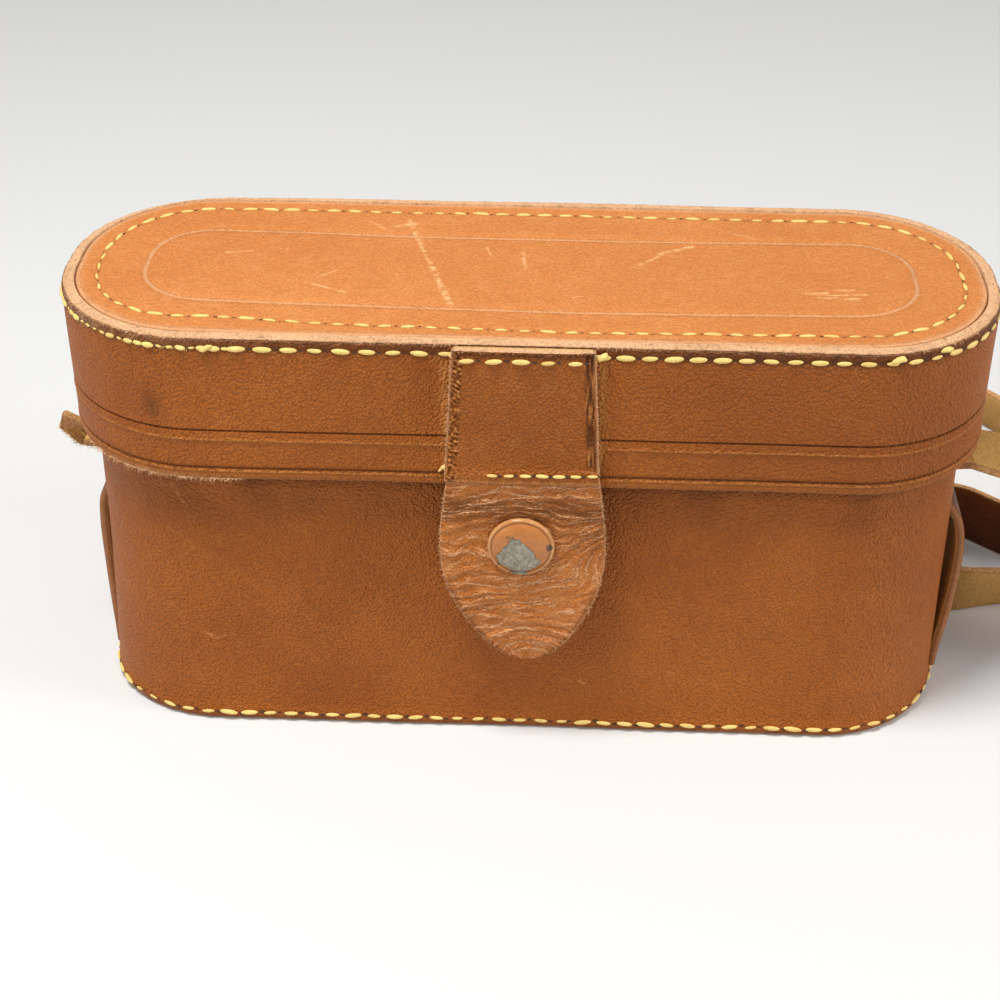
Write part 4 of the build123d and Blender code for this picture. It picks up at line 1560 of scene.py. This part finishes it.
# %% Helpers for the trees
def tree_on_a_line(name, inputs, step):
    """A node tree that sets points along a line, a step apart. Gives the tree, its inputs, the
    points, and the way out of the leather there."""
    tree = bpy.data.node_groups.new(name, "GeometryNodeTree")
    tree.is_modifier = True
    tree.interface.new_socket("Geometry", in_out="INPUT", socket_type="NodeSocketGeometry")
    tree.interface.new_socket("Geometry", in_out="OUTPUT", socket_type="NodeSocketGeometry")
    for input_name, kind in inputs:
        tree.interface.new_socket(input_name, in_out="INPUT", socket_type="NodeSocket" + kind)
    given = add_node(tree, "NodeGroupInput").outputs
    line = out_of(tree, "GeometryNodeMeshToCurve", {"Mesh": given["Geometry"]})
    spaced = out_of(tree, "GeometryNodeResampleCurve", {"Curve": line, "Length": given[step]}, mode="LENGTH")
    outward = out_of(tree, "GeometryNodeInputNamedAttribute", {"Name": "out"}, data_type="FLOAT_VECTOR")
    return tree, given, spaced, outward


def aligned(tree, inputs, **settings):
    return out_of(tree, "FunctionNodeAlignRotationToVector", inputs, **settings)


def turned_by(tree, rotation, angles):
    inputs = {"Rotation": rotation, "Rotate By": angles}
    return out_of(tree, "FunctionNodeRotateRotation", inputs, rotation_space="LOCAL")


def random_between(tree, low, high, seed):
    inputs = {2: low, 3: high, "Seed": seed}
    return add_node(tree, "FunctionNodeRandomValue", inputs, data_type="FLOAT").outputs[1]


def size_of(tree, **sides):
    return out_of(tree, "ShaderNodeCombineXYZ", sides)


def placed_on(tree, points, piece, rotation, size):
    """A real copy of the piece on every point."""
    inputs = {"Points": points, "Instance": piece, "Rotation": rotation, "Scale": size}
    copies = out_of(tree, "GeometryNodeInstanceOnPoints", inputs)
    return out_of(tree, "GeometryNodeRealizeInstances", {"Geometry": copies})


def shaped(tree, piece, size, shift, material):
    """The piece made to a size, moved and given its material."""
    inputs = {"Geometry": piece, "Scale": size, "Translation": shift}
    moved = out_of(tree, "GeometryNodeTransform", inputs)
    return out_of(tree, "GeometryNodeSetMaterial", {"Geometry": moved, "Material": material})


print("helpers for the trees ready")


# %% Stitch tree
stitch_inputs = [
    ("Pitch", "Float"), ("Stitch Length", "Float"), ("Thread Width", "Float"), ("Thread Height", "Float"),
    ("Hole Size", "Float"), ("Wobble", "Float"), ("Seed", "Int"), ("Thread", "Material"),
    ("Hole", "Material"),
]


def make_stitch_tree():
    tree, given, spaced, outward = tree_on_a_line("saddle stitches", stitch_inputs, "Pitch")
    wobble = given["Wobble"]
    turned = aligned(tree, {"Vector": out_of(tree, "GeometryNodeInputTangent")}, axis="X")
    turned = aligned(tree, {"Rotation": turned, "Vector": outward}, axis="Z", pivot_axis="X")
    half_turn = scaled(tree, wobble, 0.5)
    yaw = random_between(tree, scaled(tree, half_turn, -1.0), half_turn, given["Seed"])
    turned = turned_by(tree, turned, size_of(tree, Z=yaw))
    thinnest, plumpest = less(tree, 1.0, wobble), added(tree, 1.0, wobble)
    plump = random_between(tree, thinnest, plumpest, added(tree, given["Seed"], 3.0))

    ball = out_of(tree, "GeometryNodeMeshUVSphere", {"Segments": 8, "Rings": 7, "Radius": 0.5})
    lying = out_of(tree, "GeometryNodeTransform", {"Geometry": ball, "Rotation": (0, math.pi / 2, 0)})
    height = given["Thread Height"]
    stitch_size = size_of(tree, X=given["Stitch Length"], Y=given["Thread Width"], Z=height)
    lifted = size_of(tree, Z=scaled(tree, height, 0.12))
    stitch = shaped(tree, lying, stitch_size, lifted, given["Thread"])
    across = given["Hole Size"]
    hole_size = size_of(tree, X=scaled(tree, across, 1.7), Y=across, Z=scaled(tree, across, 0.3))
    half_pitch = size_of(tree, X=scaled(tree, given["Pitch"], 0.5))
    # The dark spot half a pitch on is painted shade for the awl hole.
    hole = shaped(tree, lying, hole_size, half_pitch, given["Hole"])
    both = add_node(tree, "GeometryNodeJoinGeometry")
    tree.links.new(stitch, both.inputs[0])
    tree.links.new(hole, both.inputs[0])
    real = placed_on(tree, spaced, both.outputs[0], turned, plump)
    add_node(tree, "NodeGroupOutput", {0: out_of(tree, "GeometryNodeSetShadeSmooth", {0: real})})
    return tree


stitch_tree = make_stitch_tree()
print("stitch tree has", len(stitch_tree.nodes), "nodes")


# %% Sew a seam
def grow(name, tree, lines, values):
    """A plain mesh of what a node tree grows along lines of (points, ways out, is closed)."""
    points, ways, edges = [], [], []
    for at_list, out_list, closed in lines:
        start = len(points)
        points += at_list
        ways += out_list
        edges += [(start + i, start + i + 1) for i in range(len(at_list) - 1)]
        if closed:
            edges.append((len(points) - 1, start))
    mesh = bpy.data.meshes.new(name + "_line")
    mesh.from_pydata([p * MM for p in points], edges, [])
    out = mesh.attributes.new("out", "FLOAT_VECTOR", "POINT")
    out.data.foreach_set("vector", [v for way in ways for v in way])
    line = bpy.data.objects.new(name + "_line", mesh)
    bpy.context.collection.objects.link(line)
    modifier = line.modifiers.new("grown", "NODES")
    modifier.node_group = tree
    for socket in tree.interface.items_tree:
        if socket.in_out == "INPUT" and socket.name in values:
            modifier[socket.identifier] = values[socket.name]
    bpy.context.view_layer.update()
    evaluated = line.evaluated_get(bpy.context.evaluated_depsgraph_get())
    grown = bpy.data.objects.new(name, bpy.data.meshes.new_from_object(evaluated))
    bpy.data.objects.remove(line)
    bpy.context.collection.objects.link(grown)
    return grown


def sew(name, body, node, lines, seed, pitch=5.05, length=3.5, width=1.25, height=0.95, hole=0.7,
        wobble=0.22):
    """Stitches along one or more lines, in millimetres."""
    values = {
        "Pitch": pitch * MM, "Stitch Length": length * MM, "Thread Width": width * MM,
        "Thread Height": height * MM, "Hole Size": hole * MM, "Wobble": wobble, "Seed": seed,
        "Thread": thread, "Hole": awl_hole_shade,
    }
    seam = grow(name, stitch_tree, lines, values)
    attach(seam, body)
    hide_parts(*node)
    print(name, "has", len(seam.data.polygons), "faces")


print("ready to sew")

# %% [markdown]
# A seam needs its line. One kind runs round a wall, pushed out with the wall's own skin so that
# no stitch sinks in or floats; the other is a row sewn by hand between two points.

# %% Lines to sew along
seam_step = 1.5


def wall_line(first, last, inset, z, push, step=seam_step):
    """A seam round a wall, between two distances, on the pushed-out surface."""
    count = int((last - first) / step)
    points, ways = [], []
    for i in range(count + 1):
        d = first + (last - first) * i / count
        at = plan_point(d, inset - push(d, z), z)
        out = oval_at(d)[1]
        points.append(at)
        ways.append(Vector((out.x, out.y, 0)))
    return points, ways


def closed_wall_line(inset, z, push):
    points, ways = wall_line(0.0, around - seam_step, inset, z, push)
    return points, ways, True


def straight_line(start, end, way, waver=0.15, seed=0.0):
    """A hand-sewn row between two points, wavering a little."""
    points = []
    steps = 24
    for i in range(steps + 1):
        share = i / steps
        drift = waver * ripple(share * 4, seed, 0.5)
        points.append(Vector(start).lerp(Vector(end), share) + to_top * drift)
    return points, [Vector(way)] * len(points), False


print("seam lines every", seam_step, "mm")

# %% [markdown]
# The lid has the most sewing: a coarse seam round the rim with a stretch that has been mended, a
# finer one round the top panel, and two short rows that hold the tab. Each seam has its own
# stitch, because thread and awl differ from seam to seam on an old case.

# %% Seams of the lid and the foot
rim_z = top_z - 2.5
rim_thread_inset = 0.22
tab_half = tab_top_w / 2 + 1.2
# A part of the rim, left of the tab, has been mended with short and close stitches
mended_from = around - 126
mended_to = around - 61
whole_runs = [(tab_half, mended_from), (mended_to, around - tab_half)]
rim_runs = [wall_line(*run, rim_thread_inset, rim_z, lid_push) for run in whole_runs]
sew("lid_rim_stitches", "lid", ["lid_rim_thread"], [(*run, False) for run in rim_runs], 11)
mended = wall_line(mended_from, mended_to, rim_thread_inset, rim_z, lid_push)
sew("lid_rim_mended", "lid", ["lid_rim_thread"], [(*mended, False)], 21,
    pitch=2.3, length=1.9, width=0.9, wobble=0.5)

top_steps = 380
top_distances = [around * i / top_steps for i in range(top_steps)]
top_points = [plan_point(d, top_seam_inset + seam_drift(d), top_z) for d in top_distances]
top_points = [p + to_top * (top_lift(p) - 0.2) for p in top_points]
sew("lid_top_stitches", "lid", ["lid_top_thread"], [(top_points, [to_top] * len(top_points), True)], 12,
    length=3.1, width=0.8, height=0.6, hole=0.45, wobble=0.32)
foot_thread_z = 2.4
foot_line = closed_wall_line(body_inset, foot_thread_z, body_push)
sew("bottom_stitches", "case_body", ["body_bottom_thread"], [foot_line], 13,
    length=3.4, width=1.05, height=0.8, wobble=0.32)

tab_row_z = top_z - 2.6
row_y = tab_face_y - 0.05
tab_row = straight_line((-11.9, row_y, tab_row_z), (11.0, row_y, tab_row_z), to_front, seed=1)
sew("tab_top_stitches", "lid", ["tab_thread_top"], [tab_row], 14, pitch=5.3, length=3.6)
tab_lip_z = tab_low.z + 2.2
lip_from, lip_to = (-6.5, tab_face_y - 0.6, tab_lip_z), (15.4, tab_face_y - 0.3, tab_lip_z + 0.2)
lip_row = straight_line(lip_from, lip_to, to_front, seed=2)
sew("tab_lip_stitches", "lid", ["tab_thread_bottom"], [lip_row], 15,
    pitch=3.4, length=2.6, width=0.8, height=0.8)

# %% [markdown]
# The hinge strip has one row on each side of its bend. Each end of the strap has two short rows,
# because it carries the weight of the camera.

# %% Seams of the hinge and the strap ends
seam_half = hinge_w / 2 - 3


def hinge_row(y, z):
    return straight_line((-seam_half, y, z), (seam_half, y, z), to_back)


lower_row = hinge_row(leaf_high.y, leaf_low.z + 3)
upper_row = hinge_row(upper_high.y, upper_high.z - 3)
sew("hinge_lower_stitches", "case_body", ["hinge_thread_lower"], [lower_row], 16)
sew("hinge_upper_stitches", "lid", ["hinge_thread_upper"], [upper_row], 17)

foot_rows = []
for side in (-1, 1):
    for rise in (2.0, 5.0):
        face_x = side * (end_x + strap_t)
        z = strap_foot_z + rise
        first, last = (face_x, middle_y - 4, z), (face_x, middle_y + 4, z)
        foot_rows.append(straight_line(first, last, (side, 0, 0), 0.1, z))
sew("strap_end_stitches", "case_body", ["strap_end_threads"], foot_rows, 18, pitch=2.6, length=2.2, width=0.9)

# %% [markdown]
# ## Frayed edges and knots
# Old cut edges shed fibres, and hand-sewn thread is finished off in small knots. A fibre is a thin
# bent cone; a second tree sets a few hundred of them along a line, leaning every way within a
# spread. A knot is only a very short row of the same stitches, heaped on one another.

# %% Fray tree
fray_inputs = [
    ("Spacing", "Float"), ("Hair Length", "Float"), ("Hair Width", "Float"), ("Spread", "Float"),
    ("Seed", "Int"), ("Fibre", "Material"),
]


def make_fray_tree():
    tree, given, spaced, outward = tree_on_a_line("frayed edge", fray_inputs, "Spacing")
    turned = aligned(tree, {"Vector": outward}, axis="Z")
    spread = given["Spread"]
    back_spread = scaled(tree, spread, -1.0)
    half_spin = 3.1
    low = size_of(tree, X=back_spread, Y=back_spread, Z=-half_spin)
    high = size_of(tree, X=spread, Y=spread, Z=half_spin)
    lean_range = {0: low, 1: high, "Seed": given["Seed"]}
    lean = out_of(tree, "FunctionNodeRandomValue", lean_range, data_type="FLOAT_VECTOR")
    turned = turned_by(tree, turned, lean)
    longest = given["Hair Length"]
    reach = random_between(tree, scaled(tree, longest, 0.35), longest, added(tree, given["Seed"], 5.0))
    slender = sums(tree, "DIVIDE", scaled(tree, given["Hair Width"], 0.5), longest)
    sizes = {"Vertices": 4, "Side Segments": 3, "Radius Top": 0.0, "Radius Bottom": slender, "Depth": 1.0}
    cone = out_of(tree, "GeometryNodeMeshCone", sizes)
    place = add_node(tree, "ShaderNodeSeparateXYZ", {0: out_of(tree, "GeometryNodeInputPosition")})
    bend = size_of(tree, X=scaled(tree, scaled(tree, place.outputs[2], place.outputs[2]), 0.45))
    bent = out_of(tree, "GeometryNodeSetPosition", {"Geometry": cone, "Offset": bend})
    real = placed_on(tree, spaced, bent, turned, reach)
    dressed = out_of(tree, "GeometryNodeSetMaterial", {"Geometry": real, "Material": given["Fibre"]})
    add_node(tree, "NodeGroupOutput", {0: dressed})
    return tree


def make_fibre(name, colour, deep):
    material, tree, shader, where = new_material(name)
    tufts = noise_at(tree, where, 1.6, 3.0, 0.6)
    shade = blend_colours(tree, between(tree, tufts, 0.36, 0.62), rgb(*deep), rgb(*colour))
    tree.links.new(shade, shader.inputs["Base Color"])
    shader.inputs["Roughness"].default_value = 0.9
    shader.inputs["Specular IOR Level"].default_value = 0.2
    return material


fray_tree = make_fray_tree()
edge_fibre = make_fibre("edge fibre", (0.80, 0.50, 0.28), (0.42, 0.20, 0.08))
suede_fibre = make_fibre("suede fibre", (0.88, 0.62, 0.16), (0.50, 0.27, 0.05))
print("fray tree has", len(fray_tree.nodes), "nodes")


# %% Fray the worn edges
def fray(name, body, lines, seed, fibre, spacing, length, width, spread):
    """Fibres along lines of (points, ways out), in millimetres."""
    values = {
        "Spacing": spacing * MM, "Hair Length": length * MM, "Hair Width": width * MM, "Spread": spread,
        "Seed": seed, "Fibre": fibre,
    }
    tuft = grow(name, fray_tree, lines, values)
    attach(tuft, body)
    print(name, "has", len(tuft.data.polygons), "faces")


lid_edge_points, lid_edge_ways = wall_line(around - 104, around - 62, 0.1, lid_z + 0.35, lid_push, 0.7)
lid_edge_ways = [Vector((w.x, w.y, -0.9)).normalized() for w in lid_edge_ways]
fray("lid_edge_fray", "lid", [(lid_edge_points, lid_edge_ways, False)], 31, edge_fibre,
     spacing=0.14, length=1.6, width=0.24, spread=1.3)

rim_fray_runs = []
for first, last, drop in ((-108, -64, 0.35), (-40, -14, 0.3), (15, 24, 0.3), (84, 100, 0.35)):
    points, ways = wall_line(around + first, around + last, 0.35, top_z - drop, lid_push, 0.8)
    rim_fray_runs.append((points, [Vector((w.x, w.y, 0.7)).normalized() for w in ways], False))
fray("rim_fray", "lid", rim_fray_runs, 32, edge_fibre,
     spacing=0.3, length=1.2, width=0.2, spread=1.1)
mended_ways = [Vector((w.x, w.y, 0.3)) for w in mended[1]]
fray("thread_fray", "lid", [(mended[0], mended_ways, False)], 36, thread,
     spacing=0.3, length=1.1, width=0.16, spread=1.4)

tab_sides = []
for side in (-1, 1):
    heights = levels(tab_low.z + 1, top_z - 1, 1.0)
    points = [Vector((side * (tab_half_w(z) - 0.1), tab_face_y + 0.2, z)) for z in heights]
    tab_sides.append((points, [Vector((side * 0.7, -0.7, 0.1))] * len(points), False))
points = [Vector((x, tab_face_y + 0.1, top_z - 0.5)) for x in levels(-tab_top_w / 2, tab_top_w / 2, 1.0)]
tab_sides.append((points, [Vector((0, -0.8, 0.6))] * len(points), False))
fray("tab_fray", "lid", tab_sides, 33, edge_fibre,
     spacing=0.3, length=0.9, width=0.16, spread=1.1)

tongue_sides = []
for side in (-1, 1):
    points = []
    for z in levels(tongue_tip_z + 0.6, fold_z - 2.5, 0.6):
        at, across, out, full_w, thick = tongue_station(z)
        points.append(at + across * side * (full_w / 2 - 0.15) + out * (0.2 * thick))
    tongue_sides.append((points, [Vector((side * 0.8, -0.5, -0.2))] * len(points), False))
fray("tongue_fray", "tongue", tongue_sides, 34, edge_fibre,
     spacing=0.2, length=0.95, width=0.18, spread=1.2)

# The strap sheds most fibres on its last steps, before it goes into the left slit
stub_stations = strap_stations[-22:-1]
stub_lines = []
for share, lift in ((-0.49, 0.0), (-0.42, 0.9), (-0.3, 0.9), (-0.18, 0.9), (-0.42, -0.9), (-0.25, -0.9)):
    points, ways = [], []
    for at, across, out, width, thickness in stub_stations:
        points.append(at + across * (width * share) + out * (lift * thickness / 2))
        ways.append((out * lift - across * (0.5 - lift * lift / 3)).normalized())
    stub_lines.append((points, ways, False))
fray("strap_fray", "case_body", stub_lines, 35, suede_fibre,
     spacing=0.12, length=1.7, width=0.24, spread=1.3)

# %% Tie off the threads
# Where the knots are, in x and z, and how they slope
knot_spots = [
    (-67.2, 104.8, 0.5), (-14.6, 104.6, -0.6), (16.3, 104.9, 0.7), (-17.3, 76.3, 0.9), (78.5, 105.6, 0.3),
    (89.5, 106.0, 0.5),
]
knots = []
for x, z, slope in knot_spots:
    face = plan_point(x, 0.05, z) if abs(x) > tab_half else Vector((x, lid_face_y - 0.3, z))
    run = Vector((0.6, 0, 0.6 * slope))
    knots.append(([face - run, face, face + run], [to_front] * 3, False))
sew("thread_knots", "lid", ["lid_rim_thread"], knots, 22,
    pitch=0.35, length=1.5, width=0.7, height=0.9, hole=0.02, wobble=0.9)

# %% [markdown]
# ## Floor, light and the last lines
# A pale floor, a lamp high at the front left and two weaker ones at the sides stand for a plain
# studio. The high lamp rakes over the front, which is what brings the grain out. The background's
# brightness is in the floor's own colour, so the leather is lit at the level where a colour comes
# out as it was written.

# %% Stage
def make_floor():
    mesh = bpy.data.meshes.new("floor")
    reach = 3.0
    corners = [(-reach, -reach, 0), (reach, -reach, 0), (reach, reach, 0), (-reach, reach, 0)]
    mesh.from_pydata(corners, [], [(0, 1, 2, 3)])
    floor = bpy.data.objects.new("floor", mesh)
    bpy.context.collection.objects.link(floor)
    material = bpy.data.materials.new("floor")
    material.use_nodes = True
    shader = material.node_tree.nodes["Principled BSDF"]
    shader.inputs["Base Color"].default_value = rgb(0.72, 0.72, 0.71)
    shader.inputs["Roughness"].default_value = 0.9
    mesh.materials.append(material)


def make_lamp(name, at, size, power):
    """A round lamp that looks at the middle of the case."""
    aim = (0, 0, 0.05)
    data = bpy.data.lights.new(name, "AREA")
    data.shape = "DISK"
    data.size = size
    data.energy = power
    lamp = bpy.data.objects.new(name, data)
    bpy.context.collection.objects.link(lamp)
    lamp.location = at
    lamp.rotation_euler = (Vector(aim) - Vector(at)).to_track_quat("-Z", "Y").to_euler()


make_floor()
make_lamp("window lamp", (-0.20, -0.20, 0.90), 0.26, 7.5)
make_lamp("left lamp", (-0.85, -0.45, 0.45), 0.4, 1.9)
make_lamp("right lamp", (1.0, -0.2, 0.45), 0.4, 5.0)
world = bpy.data.worlds.new("studio")
bpy.context.scene.world = world
world.use_nodes = True
background = world.node_tree.nodes["Background"].inputs
background["Color"].default_value = rgb(1.0, 0.98, 0.95)
background["Strength"].default_value = 0.38
bpy.context.scene.view_settings.view_transform = "Standard"
print("stage set")
